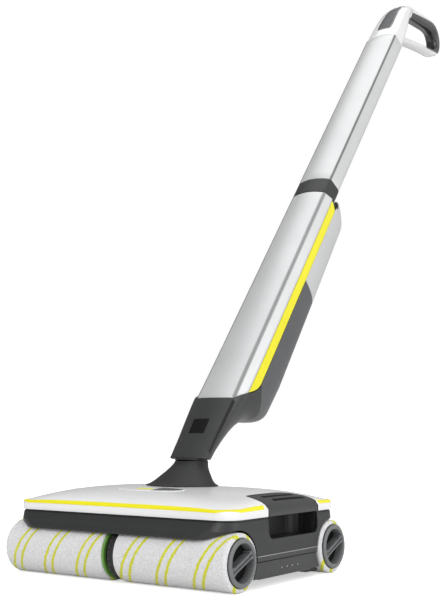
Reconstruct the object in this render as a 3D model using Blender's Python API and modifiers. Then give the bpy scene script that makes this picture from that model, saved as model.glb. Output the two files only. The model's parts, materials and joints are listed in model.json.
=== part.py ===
"""Wet dry floor scrubber with four roller brushes, a swivelling neck and a loop handle.

Metres, +Z up, +X to the machine's own right, -Y to its front. The rollers rest on z = 0.
"""

import math

import bmesh
import bpy
from mathutils import Matrix, Vector

# ---------------------------------------------------------------- driving dimensions
GAP = 0.0003  # clearance between neighbouring solids
HEAD_SETBACK = 0.3155  # from the object's own origin forward to the middle of the head

ROLLER_RADIUS = 0.0285
ROLLER_INNER = 0.0223
ROLLER_START = 0.0075
ROLLER_END = 0.1475
ROLLER_SIDES = 30
AXLE_Y = 0.089
AXLE_Z = ROLLER_RADIUS * math.cos(math.pi / ROLLER_SIDES)  # the lowest facet lies on the floor

COVER_HALF = (0.1455, 0.1045)
COVER_CORNER = 0.020
RIM_LOW = 0.0684
RIM_HIGH = 0.0745
DOME_RISE = 0.0185
CASING_WALL = 0.0022
ARCH_RADIUS = 0.0304
SIDE_LOW = 0.0313
LIP_LOW = 0.0499

RELEASE_HALF = (0.0465, 0.0125)
RELEASE_Y = -0.047

DECK_LOW = 0.0588
DECK_HIGH = 0.0618
BALLAST_TOP = 0.0758

GEAR_Y = 0.012
GEAR_Z = 0.062
GEAR_TEETH = 24
PINION_TEETH = 12
GEAR_MODULE = 0.001
PULLEY_RADIUS = 0.0062
ARM_HALF = 0.006
ARM_WALL = 0.0012

PITCH_AXIS = (0.0, 0.0092, 0.0718)
SWIVEL_AXIS = (0.0, 0.032, 0.121)
LEAN = math.radians(37.9)

BODY_WALL = 0.002
CHEEK = ((-0.0200, 0.0745), (-0.0118, 0.0800), (0.0024, 0.1000), (0.0052, 0.1022), (0.0152, 0.1152),
         (0.0192, 0.1232), (0.0392, 0.0960))
TANK_TOP = 0.303
LATCH_Z = 0.325
CAP_Z = 0.262
CAP_FACE = 0.0664
COLLAR_LOW = 0.447
COLLAR_HIGH = 0.475
TUBE_TOP = 0.832

COLOURS = {
    "white": ((0.86, 0.87, 0.88), 0.25, 0.0),
    "silver": ((0.62, 0.63, 0.65), 0.35, 0.6),
    "charcoal": ((0.055, 0.057, 0.062), 0.55, 0.0),
    "tank_grey": ((0.14, 0.145, 0.155), 0.4, 0.0),
    "grey": ((0.2, 0.205, 0.215), 0.5, 0.0),
    "yellow": ((0.9, 0.82, 0.05), 0.4, 0.0),
    "fleece": ((0.85, 0.85, 0.86), 0.95, 0.0),
    "green": ((0.15, 0.42, 0.1), 0.5, 0.0),
    "rubber": ((0.03, 0.03, 0.032), 0.75, 0.0),
    "steel": ((0.55, 0.56, 0.58), 0.3, 1.0),
    "black_gloss": ((0.02, 0.021, 0.024), 0.12, 0.0),
    "board": ((0.03, 0.16, 0.08), 0.45, 0.0),
}


# ---------------------------------------------------------------- scene helpers
def clear_scene():
    for thing in list(bpy.data.objects):
        bpy.data.objects.remove(thing)


def new_collection(name):
    collection = bpy.data.collections.new(name)
    bpy.context.scene.collection.children.link(collection)
    return collection


clear_scene()
PARTS = new_collection("floor_scrubber")
CUTTERS = new_collection("cutters")
CUTTERS.hide_render = True


def paint(thing, look):
    colour, roughness, metallic = COLOURS[look]
    material = bpy.data.materials.new(thing.name + "_" + look)
    material.use_nodes = True
    shader = material.node_tree.nodes["Principled BSDF"]
    shader.inputs["Base Color"].default_value = (*colour, 1.0)
    shader.inputs["Roughness"].default_value = roughness
    shader.inputs["Metallic"].default_value = metallic
    thing.data.materials.append(material)


def empty(name, parent=None, location=(0, 0, 0), tilt=0.0):
    thing = bpy.data.objects.new(name, None)
    PARTS.objects.link(thing)
    thing.parent = parent
    thing.location = location
    thing.rotation_euler = (tilt, 0, 0)
    return thing


def finish_mesh(name, bm, look, parent, collection=None, smooth=35):
    bmesh.ops.recalc_face_normals(bm, faces=bm.faces[:])
    mesh = bpy.data.meshes.new(name)
    bm.to_mesh(mesh)
    bm.free()
    mesh.shade_smooth()
    mesh.set_sharp_from_angle(angle=math.radians(smooth))
    thing = bpy.data.objects.new(name, mesh)
    (collection or PARTS).objects.link(thing)
    thing.parent = parent
    if look:
        paint(thing, look)
    return thing


def as_cutter(thing):
    for collection in list(thing.users_collection):
        collection.objects.unlink(thing)
    CUTTERS.objects.link(thing)
    thing.hide_render = True
    thing.display_type = "WIRE"
    return thing


def boolean(thing, other, operation):
    modifier = thing.modifiers.new(operation.lower(), "BOOLEAN")
    modifier.object = as_cutter(other)
    modifier.operation = operation
    modifier.solver = "EXACT"
    return thing


def cut(thing, *others):
    for other in others:
        boolean(thing, other, "DIFFERENCE")
    return thing


def join(thing, *others):
    for other in others:
        boolean(thing, other, "UNION")
    return thing


# ---------------------------------------------------------------- shape helpers
# A prism's outline is in the plane of its axis: (y, z) for "x", (x, z) for "y", (x, y) for "z".
AXIS_POINT = {
    "x": lambda p, q, along: (along, p, q),
    "y": lambda p, q, along: (p, along, q),
    "z": lambda p, q, along: (p, q, along),
}


def prism(name, outline, axis, low, high, look=None, parent=None, bevel=0.0):
    bm = bmesh.new()
    place = AXIS_POINT[axis]
    face = bm.faces.new([bm.verts.new(place(p, q, low)) for p, q in outline])
    grown = bmesh.ops.extrude_face_region(bm, geom=[face])
    moved = [v for v in grown["geom"] if isinstance(v, bmesh.types.BMVert)]
    bmesh.ops.translate(bm, verts=moved, vec=place(0, 0, high - low))
    if bevel:
        caps = [f for f in bm.faces if len(f.verts) == len(outline)]
        edges = {edge for f in caps for edge in f.edges}
        bmesh.ops.bevel(bm, geom=list(edges), offset=bevel, segments=2, profile=0.5, affect="EDGES")
    return finish_mesh(name, bm, look, parent)


def box(name, low, high, look=None, parent=None, bevel=0.0):
    bm = bmesh.new()
    middle = [(a + b) / 2 for a, b in zip(low, high)]
    size = [b - a for a, b in zip(low, high)]
    frame = Matrix.Translation(middle) @ Matrix.Diagonal((*size, 1))
    bmesh.ops.create_cube(bm, size=1, matrix=frame)
    if bevel:
        bmesh.ops.bevel(bm, geom=bm.edges[:], offset=bevel, segments=2, profile=0.5, affect="EDGES")
    return finish_mesh(name, bm, look, parent)


def turn_to(axis):
    if axis == "x":
        return Matrix.Rotation(math.pi / 2, 4, "Y")
    if axis == "y":
        return Matrix.Rotation(-math.pi / 2, 4, "X")
    return Matrix.Identity(4)


def cylinder(name, centre, radius, axis, low, high, look=None, parent=None, sides=32, turn=0.0):
    bm = bmesh.new()
    middle = Vector(AXIS_POINT[axis](*centre, (low + high) / 2))
    frame = Matrix.Translation(middle) @ turn_to(axis) @ Matrix.Rotation(turn, 4, "Z")
    bmesh.ops.create_cone(
        bm, cap_ends=True, segments=sides, radius1=radius, radius2=radius, depth=high - low, matrix=frame
    )
    return finish_mesh(name, bm, look, parent)


def turned(name, profile, look, parent, axis="x", sides=32, phase=0.0):
    """A closed profile of (along, radius) points, spun round the axis with a Screw modifier."""
    bm = bmesh.new()
    verts = [bm.verts.new((radius, 0, along)) for along, radius in profile]
    for first, second in zip(verts, verts[1:] + verts[:1]):
        bm.edges.new((first, second))
    mesh = bpy.data.meshes.new(name)
    bm.to_mesh(mesh)
    bm.free()
    thing = bpy.data.objects.new(name, mesh)
    PARTS.objects.link(thing)
    thing.parent = parent
    thing.matrix_local = turn_to(axis) @ Matrix.Rotation(phase, 4, "Z")
    screw = thing.modifiers.new("spin", "SCREW")
    screw.steps = screw.render_steps = sides
    screw.use_merge_vertices = True
    screw.merge_threshold = 0.00005
    screw.use_smooth_shade = True
    if look:
        paint(thing, look)
    return thing


def ring_profile(low, high, inner, outer, edge=0.0):
    """The section of a ring, running down its outer side first."""
    if not edge:
        return [(high, outer), (low, outer), (low, inner), (high, inner)]
    soft = edge * 0.3
    return [
        (high, outer - edge), (high - soft, outer - soft), (high - edge, outer),
        (low + edge, outer), (low + soft, outer - soft), (low, outer - edge),
        (low, inner), (high, inner),
    ]


def loft(name, rings, look, parent, cyclic=False, smooth=35):
    """Skin between rings of equally many points: capped at both ends, or closed on itself."""
    bm = bmesh.new()
    rows = [[bm.verts.new(point) for point in ring] for ring in rings]
    pairs = list(zip(rows, rows[1:]))
    if cyclic:
        pairs.append((rows[-1], rows[0]))
    else:
        bm.faces.new(rows[0])
        bm.faces.new(rows[-1])
    for row, after in pairs:
        for i in range(len(row)):
            j = (i + 1) % len(row)
            bm.faces.new((row[i], row[j], after[j], after[i]))
    return finish_mesh(name, bm, look, parent, smooth=smooth)


def rounded_rectangle(half_x, half_y, radius, steps=5, middle=(0, 0)):
    points = []
    corners = ((1, 1, 0), (-1, 1, 90), (-1, -1, 180), (1, -1, 270))
    for sx, sy, start in corners:
        cx = middle[0] + sx * (half_x - radius)
        cy = middle[1] + sy * (half_y - radius)
        for k in range(steps + 1):
            angle = math.radians(start + 90 * k / steps)
            points.append((cx + radius * math.cos(angle), cy + radius * math.sin(angle)))
    return points


def ellipse(half_x, half_y, count, middle=(0, 0), start=0.0):
    angles = [start + 2 * math.pi * k / count for k in range(count)]
    return [(middle[0] + half_x * math.cos(a), middle[1] + half_y * math.sin(a)) for a in angles]


def arc(centre, radius, start, end, count):
    angles = [math.radians(start + (end - start) * k / (count - 1)) for k in range(count)]
    return [(centre[0] + radius * math.cos(a), centre[1] + radius * math.sin(a)) for a in angles]


def hull(circles, sides=18):
    """Outline of the convex hull of some circles, each (p, q, radius)."""
    points = sorted(point for p, q, r in circles for point in ellipse(r, r, sides, (p, q)))

    def half(ordered):
        chain = []
        for point in ordered:
            while len(chain) > 1 and side_of(chain[-2], chain[-1], point) <= 1e-12:
                chain.pop()
            chain.append(point)
        return chain[:-1]

    return half(points) + half(points[::-1])


def side_of(a, b, c):
    return (b[0] - a[0]) * (c[1] - a[1]) - (b[1] - a[1]) * (c[0] - a[0])


def gear_outline(teeth, module, first_tooth, centre=(0, 0), backlash=0.00012):
    """A spur gear whose flanks run straight between the involute's root and tip widths."""
    pitch = teeth * module / 2
    base = pitch * math.cos(math.radians(20))

    def involute(radius):
        angle = math.acos(min(1, base / radius))
        return math.tan(angle) - angle

    radii = (pitch - 1.2 * module, pitch + 0.9 * module)
    widths = []
    for radius in radii:
        at_pitch = math.pi / 2 / teeth - backlash / pitch
        widths.append(at_pitch + involute(pitch) - involute(max(radius, base)))
    points = []
    for tooth in range(teeth):
        middle = first_tooth + 2 * math.pi * tooth / teeth
        for radius, width in list(zip(radii, widths)):
            points.append((radius, middle - width))
        for radius, width in list(zip(radii, widths))[::-1]:
            points.append((radius, middle + width))
    return [(centre[0] + r * math.cos(a), centre[1] + r * math.sin(a)) for r, a in points]


# ---------------------------------------------------------------- frames that things sit in
WORLD = empty("assembly", None, (0, -HEAD_SETBACK, 0))
FRONT_AXLE = empty("front_axle", WORLD, (0, -AXLE_Y, AXLE_Z))
REAR_AXLE = empty("rear_axle", WORLD, (0, AXLE_Y, AXLE_Z))
PITCH = empty("pitch_axis", WORLD, PITCH_AXIS)
STICK = empty("stick_frame", WORLD, SWIVEL_AXIS, -LEAN)


# ---------------------------------------------------------------- rollers and their drive
def roller(name, axle, side):
    """One pull-off roller: fleece sleeve, tube with a hexagonal drive bore, and end cap."""
    def along(low, high):
        return (low, high) if side > 0 else (-high, -low)

    half_step = math.pi / ROLLER_SIDES
    low, high = along(ROLLER_START, ROLLER_END)
    turned(name + "_sleeve", ring_profile(low, high, ROLLER_INNER, ROLLER_RADIUS, 0.003),
           "fleece", axle, sides=ROLLER_SIDES, phase=half_step)

    tube_in, tube_out, hub_out, hub_in = 0.0202, ROLLER_INNER - GAP, 0.0075, 0.0035
    start, web, end = 0.0085, 0.050, 0.1385
    profile = [(end, tube_out), (start, tube_out), (start, tube_in), (web, tube_in),
               (web, hub_out), (start, hub_out), (start, hub_in), (web + 0.012, hub_in),
               (web + 0.012, hub_out), (web + 0.003, hub_out), (web + 0.003, tube_in),
               (end, tube_in)]
    if side < 0:
        profile = [(-x, r) for x, r in profile][::-1]
    core = turned(name + "_core", profile, "green", axle, sides=20)
    low, high = along(0.006, web + 0.014)
    cut(core, cylinder(name + "_hex", (0, 0), 0.0047, "x", low, high, parent=axle, sides=6))

    cup_out, cup_in, flange = 0.0199, 0.0183, 0.0232
    profile = [(0.1502, flange - 0.001), (0.1492, flange), (0.1478, flange), (0.1478, cup_out),
               (0.1388, cup_out), (0.1388, 0.0), (0.1404, 0.0), (0.1404, cup_in),
               (0.1498, cup_in), (0.1502, cup_in + 0.0006)]
    if side < 0:
        profile = [(-x, r) for x, r in profile][::-1]
    cap = turned(name + "_cap", profile, "grey", axle, sides=24)
    low, high = along(0.1398, 0.1490)
    bar = box(name + "_bar", (low, -cup_in - 0.0006, -0.0034), (high, cup_in + 0.0006, 0.0034), parent=axle)
    bar.rotation_euler = (math.radians(24), 0, 0)
    join(cap, bar)


def drive_shaft(name, axle):
    """Shaft through both rollers, with the belt pulley in the middle."""
    flange = PULLEY_RADIUS + 0.0012
    profile = [(0.0073, 0.0), (0.0073, 0.0042), (0.0046, 0.0042), (0.0046, flange), (0.0041, flange),
               (0.0041, PULLEY_RADIUS), (0.0003, PULLEY_RADIUS), (0.0003, flange), (-0.0003, flange),
               (-0.0003, 0.0042), (-0.0073, 0.0042), (-0.0073, 0.0)]
    shaft = turned(name, profile, "steel", axle, sides=14)
    for side, (low, high) in (("right", (0.0068, 0.061)), ("left", (-0.061, -0.0068))):
        join(shaft, cylinder(name + "_" + side, (0, 0), 0.0043, "x", low, high, parent=axle, sides=6))


def drive_gear(name, y, first_tooth):
    """Spur gear on the left, belt pulley on the right, and a journal at each end."""
    wheel = prism(name, gear_outline(GEAR_TEETH, GEAR_MODULE, first_tooth, (y, GEAR_Z)), "x",
                  -0.0043, -0.0006, "white", WORLD)
    middle = (y, GEAR_Z)
    join(wheel,
         cylinder(name + "_pulley", middle, PULLEY_RADIUS, "x", -0.0010, 0.0044, parent=WORLD, sides=16),
         cylinder(name + "_journal", middle, 0.0025, "x", -0.0057, 0.0057, parent=WORLD, sides=12))


def belt(name, sign):
    """Flat belt from a gear's pulley down to the axle's pulley."""
    ends = [(sign * GEAR_Y, GEAR_Z), (sign * AXLE_Y, AXLE_Z)]
    inner = PULLEY_RADIUS + 0.0004
    outer = inner + 0.0011
    strap = prism(name, hull([(y, z, outer) for y, z in ends]), "x", 0.0007, 0.0037, "rubber", WORLD)
    cut(strap, prism(name + "_inside", hull([(y, z, inner) for y, z in ends]), "x", 0.0, 0.005, parent=WORLD))


PINION_ANGLE = math.radians(150)
PINION_DISTANCE = (GEAR_TEETH + PINION_TEETH) * GEAR_MODULE / 2
PINION_AT = (-GEAR_Y + PINION_DISTANCE * math.cos(PINION_ANGLE),
             GEAR_Z + PINION_DISTANCE * math.sin(PINION_ANGLE))


def drive_train():
    for row, axle in (("front", FRONT_AXLE), ("rear", REAR_AXLE)):
        for side, sign in (("left", -1), ("right", 1)):
            roller(f"{row}_{side}_roller", axle, sign)
        drive_shaft(row + "_shaft", axle)
    drive_gear("front_gear", -GEAR_Y, 0.0)
    drive_gear("rear_gear", GEAR_Y, math.pi / GEAR_TEETH)
    belt("front_belt", -1)
    belt("rear_belt", 1)
    pinion = prism("motor_pinion", gear_outline(PINION_TEETH, GEAR_MODULE, math.pi / PINION_TEETH, PINION_AT),
                   "x", -0.0043, -0.0006, "steel", WORLD)
    join(pinion, cylinder("pinion_shaft", PINION_AT, 0.002, "x", -0.0240, 0.0, parent=WORLD, sides=16))
    motor = cylinder("motor_can", PINION_AT, 0.0125, "x", -0.098, -0.0135, "steel", WORLD, sides=20)
    cut(motor, cylinder("motor_bore", PINION_AT, 0.0025, "x", -0.027, -0.010, parent=WORLD, sides=16))


def drive_housing():
    """Two halves of the flat arm that carries the gears and belts between the rollers."""
    def outlines(shrink):
        axles = [(s * AXLE_Y, AXLE_Z, 0.0094 - shrink) for s in (-1, 1)]
        gears = [(s * GEAR_Y, GEAR_Z, 0.0143 - shrink) for s in (-1, 1)]
        pinion = (*PINION_AT, 0.0085 - shrink)
        return [hull([axles[0], (gears[0][0], gears[0][1], 0.0094 - shrink)]),
                hull([axles[1], (gears[1][0], gears[1][1], 0.0094 - shrink)]),
                hull(gears), hull([gears[0], pinion])]

    for side, low, high in (("left", -ARM_HALF, -GAP / 2), ("right", GAP / 2, ARM_HALF)):
        name = "drive_housing_" + side
        shapes = [prism(f"{name}_{i}", o, "x", low, high, parent=WORLD) for i, o in enumerate(outlines(0))]
        half = shapes[0]
        half.name = name
        paint(half, "charcoal")
        join(half, *shapes[1:])
        inside = ARM_HALF - ARM_WALL
        for i, outline in enumerate(outlines(0.0011)):
            cut(half, prism(f"{name}_in{i}", outline, "x", -inside, inside, parent=WORLD))
        for sign in (-1, 1):
            cut(half, cylinder(f"{name}_axle{sign}", (sign * AXLE_Y, AXLE_Z), 0.0047, "x", -0.01, 0.01,
                               parent=WORLD, sides=24),
                cylinder(f"{name}_gear{sign}", (sign * GEAR_Y, GEAR_Z), 0.0029, "x", -0.01, 0.01,
                         parent=WORLD, sides=16))
        if side == "left":
            cut(half, cylinder(name + "_pinion", PINION_AT, 0.0026, "x", -0.01, 0.0, parent=WORLD, sides=16))


# ---------------------------------------------------------------- head
def dome_height(x, y):
    across = max(0.0, 1 - abs(x / COVER_HALF[0]) ** 4) ** 0.5
    along = max(0.0, 1 - abs(y / COVER_HALF[1]) ** 2.3) ** 0.5
    return RIM_HIGH + DOME_RISE * across * along


BOOT_BASE = (0.0, 0.009)
BOOT_HOLE = (0.0400, 0.0275)


def cover_surface(name, inset=0.0, look=None, parent=None):
    """The dome and rim as a shell of even wall, open below and round the neck."""
    steps = 4
    rim = rounded_rectangle(COVER_HALF[0] - inset, COVER_HALF[1] - inset, COVER_CORNER - inset, steps)
    hole = []
    for x, y in rim:
        angle = math.atan2(y / COVER_HALF[1], x / COVER_HALF[0])
        hole.append((BOOT_BASE[0] + (BOOT_HOLE[0] + inset) * math.cos(angle),
                     BOOT_BASE[1] + (BOOT_HOLE[1] + inset) * math.sin(angle)))
    rings = [[(x, y, RIM_LOW) for x, y in rim], [(x, y, RIM_HIGH - 0.0005) for x, y in rim]]
    for t in (0.012, 0.06, 0.15, 0.32, 0.6, 1.0):
        ring = []
        for (x0, y0), (x1, y1) in zip(rim, hole):
            x, y = x0 + (x1 - x0) * t, y0 + (y1 - y0) * t
            ring.append((x, y, dome_height(x, y) - inset))
        rings.append(ring)
    inner = [[(x * (1 - CASING_WALL / COVER_HALF[0]), y * (1 - CASING_WALL / COVER_HALF[1]),
               z - (CASING_WALL if i > 1 else 0)) for x, y, z in ring] for i, ring in enumerate(rings)]
    return loft(name, rings + inner[::-1], look, parent, cyclic=True, smooth=50)


GRIP_FRONT, GRIP_BACK = -0.037, 0.060
GRIP_INNER = 0.118
GRIP_BEND = 0.020  # behind this the inner edge sweeps out by GRIP_SWEEP
GRIP_SWEEP = 0.0275


def grip_outline(side, grow=0.0):
    """Plan of a side grip: straight across at the front, sweeping out to the rim at the back."""
    inner = GRIP_INNER - grow
    points = [(0.160, GRIP_FRONT - grow), (inner, GRIP_FRONT - grow), (inner, GRIP_BEND)]
    for k in range(1, 6):
        angle = math.radians(90 * k / 5)
        points.append((inner + GRIP_SWEEP * (1 - math.cos(angle)),
                       GRIP_BEND + (GRIP_BACK - GRIP_BEND + grow) * math.sin(angle)))
    points.append((0.160, GRIP_BACK + grow))
    return [(side * x, y) for x, y in (points if side > 0 else points[::-1])]


def side_sign(side):
    return 1 if side == "right" else -1


def covers():
    cover = cover_surface("top_cover", 0, "white", WORLD)
    for side in ("left", "right"):
        sign = side_sign(side)
        cut(cover, prism("grip_gap_" + side, grip_outline(sign, GAP), "z", 0.05, 0.12, parent=WORLD))
        grip = cover_surface("side_grip_" + side, 0, "charcoal", WORLD)
        plan = prism("grip_plan_" + side, grip_outline(sign), "z", 0.05, 0.12, parent=WORLD)
        boolean(grip, plan, "INTERSECT")
        for i, (x, low, high) in enumerate(((0.1285, -0.016, 0.040), (0.1365, -0.006, 0.050))):
            slot = rounded_rectangle(0.0012, (high - low) / 2, 0.0011, 2, (sign * x, (high + low) / 2))
            cut(grip, prism(f"grip_slot_{side}_{i}", slot, "z", 0.05, 0.12, parent=WORLD))
    button_hole = ellipse(*RELEASE_HALF, 24, (0, RELEASE_Y))
    cut(cover, prism("release_hole", button_hole, "z", 0.07, 0.12, parent=WORLD),
        box("fork_slot", (-0.0134, 0.020, 0.080), (0.0134, 0.0384, 0.110), parent=WORLD))
    stripe("front_stripe", -1)
    stripe("rear_stripe", 1)


def stripe(name, sign):
    """Yellow inlay laid along the shoulder of the cover, round its two corners."""
    steps = 6
    plan = rounded_rectangle(COVER_HALF[0], COVER_HALF[1], COVER_CORNER, steps)
    per_corner = steps + 1
    start = 2 * per_corner if sign < 0 else 0
    path = plan[start + 1:start + 2 * per_corner - 1]
    (xa, y), (xb, _) = path[steps - 1], path[steps]
    path[steps:steps] = [(xa + (xb - xa) * k / 6, y) for k in range(1, 6)]
    side = math.copysign(COVER_HALF[0], path[0][0])
    corner, end = COVER_HALF[1] - COVER_CORNER, 0.0415 if sign < 0 else 0.0645
    reach = [sign * (end + (corner - end) * k / 3) for k in range(3)]
    path = [(side, y) for y in reach] + path + [(-side, y) for y in reach[::-1]]
    low_gap, high_gap = 0.0006, 0.0014
    rows = []
    for inset, lift in ((0.0001, low_gap), (0.0013, low_gap), (0.0028, low_gap),
                        (0.0028, high_gap), (0.0013, high_gap), (0.0001, high_gap)):
        out, up = (0.95, 0.3) if inset < 0.001 else (0.6, 0.8)
        row = []
        for x, y in path:
            near = (x * (1 - inset / COVER_HALF[0]), y * (1 - inset / COVER_HALF[1]))
            row.append((near[0] * (1 + lift * out / COVER_HALF[0]),
                        near[1] * (1 + lift * out / COVER_HALF[1]),
                        dome_height(*near) + lift * up))
        rows.append(row)
    sections = [list(section) for section in zip(*rows)]
    loft(name, sections, "yellow", WORLD)


def window_outline():
    low, high, radius = 0.0450, 0.080, 0.006
    points = arc((GRIP_FRONT + radius, low + radius), radius, 180, 270, 5)
    points += arc((GRIP_BACK - radius, low + radius), radius, 270, 360, 5)
    return points + [(GRIP_BACK, high), (GRIP_FRONT, high)]


def casing():
    """Dark casing under the cover: flared over the rollers, arched at its sides."""
    stations = ((RIM_LOW - GAP, 0.1445, 0.1032, 0.021), (0.0600, 0.1452, 0.1088, 0.028),
                (0.0535, 0.1455, 0.1122, 0.038), (SIDE_LOW, 0.1455, 0.1130, 0.042))
    outer, inner = [], []
    for z, half_x, half_y, radius in stations:
        outer.append([(x, y, z) for x, y in rounded_rectangle(half_x, half_y, radius, 4)])
        thin = [h - CASING_WALL for h in (half_x, half_y, radius)]
        inner.append([(x, y, z) for x, y in rounded_rectangle(*thin, 4)])
    shell = loft("lower_casing", outer + inner[::-1], "charcoal", WORLD, cyclic=True)
    for sign, row in ((-1, "front"), (1, "rear")):
        cut(shell, cylinder("arch_" + row, (sign * AXLE_Y, AXLE_Z), ARCH_RADIUS, "x", -0.16, 0.16,
                            parent=WORLD, sides=36))
        near, far = sorted((sign * 0.069, sign * 0.13))
        cut(shell, box("lip_" + row, (-0.16, near, 0.02), (0.16, far, LIP_LOW), parent=WORLD))
    for side in ("left", "right"):
        near, far = sorted((side_sign(side) * 0.140, side_sign(side) * 0.150))
        cut(shell, prism("window_" + side, window_outline(), "x", near, far, parent=WORLD))
        pocket(side)


def pocket(side):
    """Finger pocket behind the side window."""
    sign = side_sign(side)
    front, back, wall = GRIP_FRONT - 0.003, GRIP_BACK + 0.0004, 0.0015
    depth, outer = 0.112, 0.1418
    def plan(shrink):
        inner = depth + shrink
        points = [(outer + (0.01 if shrink else 0), front + shrink)]
        points += arc((inner + 0.014, front + shrink + 0.014), 0.014, 270, 180, 5)
        points += arc((inner + 0.014, back - shrink - 0.014), 0.014, 180, 90, 5)
        points += [(outer + (0.01 if shrink else 0), back - shrink)]
        return [(sign * x, y) for x, y in points]

    liner = prism("grip_pocket_" + side, plan(0), "z", 0.0430, 0.0678, "charcoal", WORLD)
    cut(liner, prism("grip_pocket_room_" + side, plan(wall), "z", 0.0445, 0.08, parent=WORLD))


def chassis():
    """Cast steel deck above the rollers: a thick ballast bar in front, two lugs for the neck."""
    deck = prism("chassis_frame", rounded_rectangle(0.140, 0.0865, 0.020, 4), "z", DECK_LOW, DECK_HIGH,
                 "steel", WORLD)
    holes = [box("deck_drive_slot", (-0.0068, -0.048, 0.05), (0.0068, 0.048, 0.07), parent=WORLD),
             box("deck_motor_slot", (-0.101, PINION_AT[0] - 0.0135, 0.05),
                 (-0.0060, PINION_AT[0] + 0.0135, 0.07), parent=WORLD)]
    for side in ("left", "right"):
        near, far = sorted((side_sign(side) * 0.1110, side_sign(side) * 0.150))
        holes.append(box("deck_notch_" + side, (near, GRIP_FRONT - 0.005, 0.05),
                         (far, GRIP_BACK + 0.005, 0.07), parent=WORLD))
    cut(deck, *holes)
    join(deck, box("deck_ballast", (-0.110, -0.0800, DECK_HIGH - 0.001), (0.110, -0.0450, BALLAST_TOP),
                   parent=WORLD))
    y, z = PITCH_AXIS[1:]
    for side in ("left", "right"):
        near, far = sorted((side_sign(side) * 0.0136, side_sign(side) * 0.0186))
        foot = [(y + step, DECK_HIGH - 0.001, 0.0005) for step in (-0.006, 0.006)]
        lug = hull([(y, z, 0.0085), *foot])
        join(deck, prism("lug_" + side, lug, "x", near, far, parent=WORLD))
        cut(deck, cylinder("lug_hole_" + side, (y, z), 0.0033, "x", near - 0.002, far + 0.002,
                           parent=WORLD, sides=20))
        pin = [(0.0205, 0.0), (0.0205, 0.0048), (0.0189, 0.0048), (0.0189, 0.0030),
               (0.0076, 0.0030), (0.0076, 0.0)]
        if side == "left":
            pin = [(-x, r) for x, r in pin][::-1]
        turned("pivot_pin_" + side, pin, "steel", PITCH, sides=20)


def scrapers():
    """Rubber-edged channel that wrings each roller and leads the water into the tray."""
    inner, outer = ROLLER_RADIUS + 0.0008, ROLLER_RADIUS + 0.0024
    for sign, name in ((-1, "front_scraper"), (1, "rear_scraper")):
        lower = arc((-AXLE_Y, AXLE_Z), inner, -30, 44, 8)
        upper = arc((-AXLE_Y, AXLE_Z), outer, 44, -30, 8)
        corner = lower[-1][0]
        points = lower + [(corner, DECK_LOW - GAP), (corner + 0.0018, DECK_LOW - GAP)] + upper
        outline = [(-sign * y, z) for y, z in points]
        blade = prism(name, outline, "x", -0.1415, 0.1415, "rubber", WORLD)
        near, far = sorted((sign * 0.045, sign * 0.075))
        cut(blade, box(name + "_notch", (-0.0066, near, 0.0), (0.0066, far, 0.0510), parent=WORLD))


def waste_tray():
    """Open tray between the rollers that draws out sideways, with an end panel on each side."""
    low, high, wall = 0.0080, 0.0310, 0.0018
    body = [(-0.050, low), (0.050, low), (0.0545, high), (-0.0545, high)]
    room = [(-0.0480, low + wall), (0.0480, low + wall), (0.0530, high + 0.01), (-0.0530, high + 0.01)]
    tray = prism("waste_tray", body, "x", -0.1440, 0.1440, "tank_grey", WORLD)
    right = arc((AXLE_Y, AXLE_Z), ROLLER_RADIUS + 0.0031, 175, 218, 6)
    panel = right + [(-y, z) for y, z in right[::-1]]
    for side, near, far in (("left", -0.1450, -0.1420), ("right", 0.1420, 0.1450)):
        join(tray, prism("tray_panel_" + side, panel, "x", near, far, parent=WORLD))
    cut(tray, prism("tray_room", room, "x", -0.1405, 0.1405, parent=WORLD))


def release_button():
    """Oval foot button let into the cover in front of the neck."""
    rings = []
    for shrink, drop in ((0.0006, -0.006), (0.0006, 0.0002), (0.0016, 0.0010)):
        ring = ellipse(RELEASE_HALF[0] - shrink, RELEASE_HALF[1] - shrink, 24, (0, RELEASE_Y))
        rings.append([(x, y, dome_height(x, y) + drop) for x, y in ring])
    loft("cover_release", rings, "grey", WORLD)


def boot():
    """Rubber boot round the neck joint, from an oval foot on the cover to a small collar."""
    stations = ((0.0938, 0.0450, 0.0315), (0.0950, 0.0412, 0.0290), (0.0985, 0.0375, 0.0265),
                (0.1040, 0.0320, 0.0235), (0.1110, 0.0255, 0.0190), (0.1192, 0.0195, 0.0145))
    low, high = stations[0][0], stations[-1][0]
    top_y = 0.027
    outer, inner = [], []
    for z, half_x, half_y in stations:
        t = (z - low) / (high - low)
        middle = (0, BOOT_BASE[1] + (top_y - BOOT_BASE[1]) * t)
        outer.append([(x, y, z) for x, y in ellipse(half_x, half_y, 24, middle)])
        inner.append([(x, y, z) for x, y in ellipse(half_x - 0.0016, half_y - 0.0016, 24, middle)])
    loft("neck_boot", outer + inner[::-1], "rubber", WORLD, cyclic=True)


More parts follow.
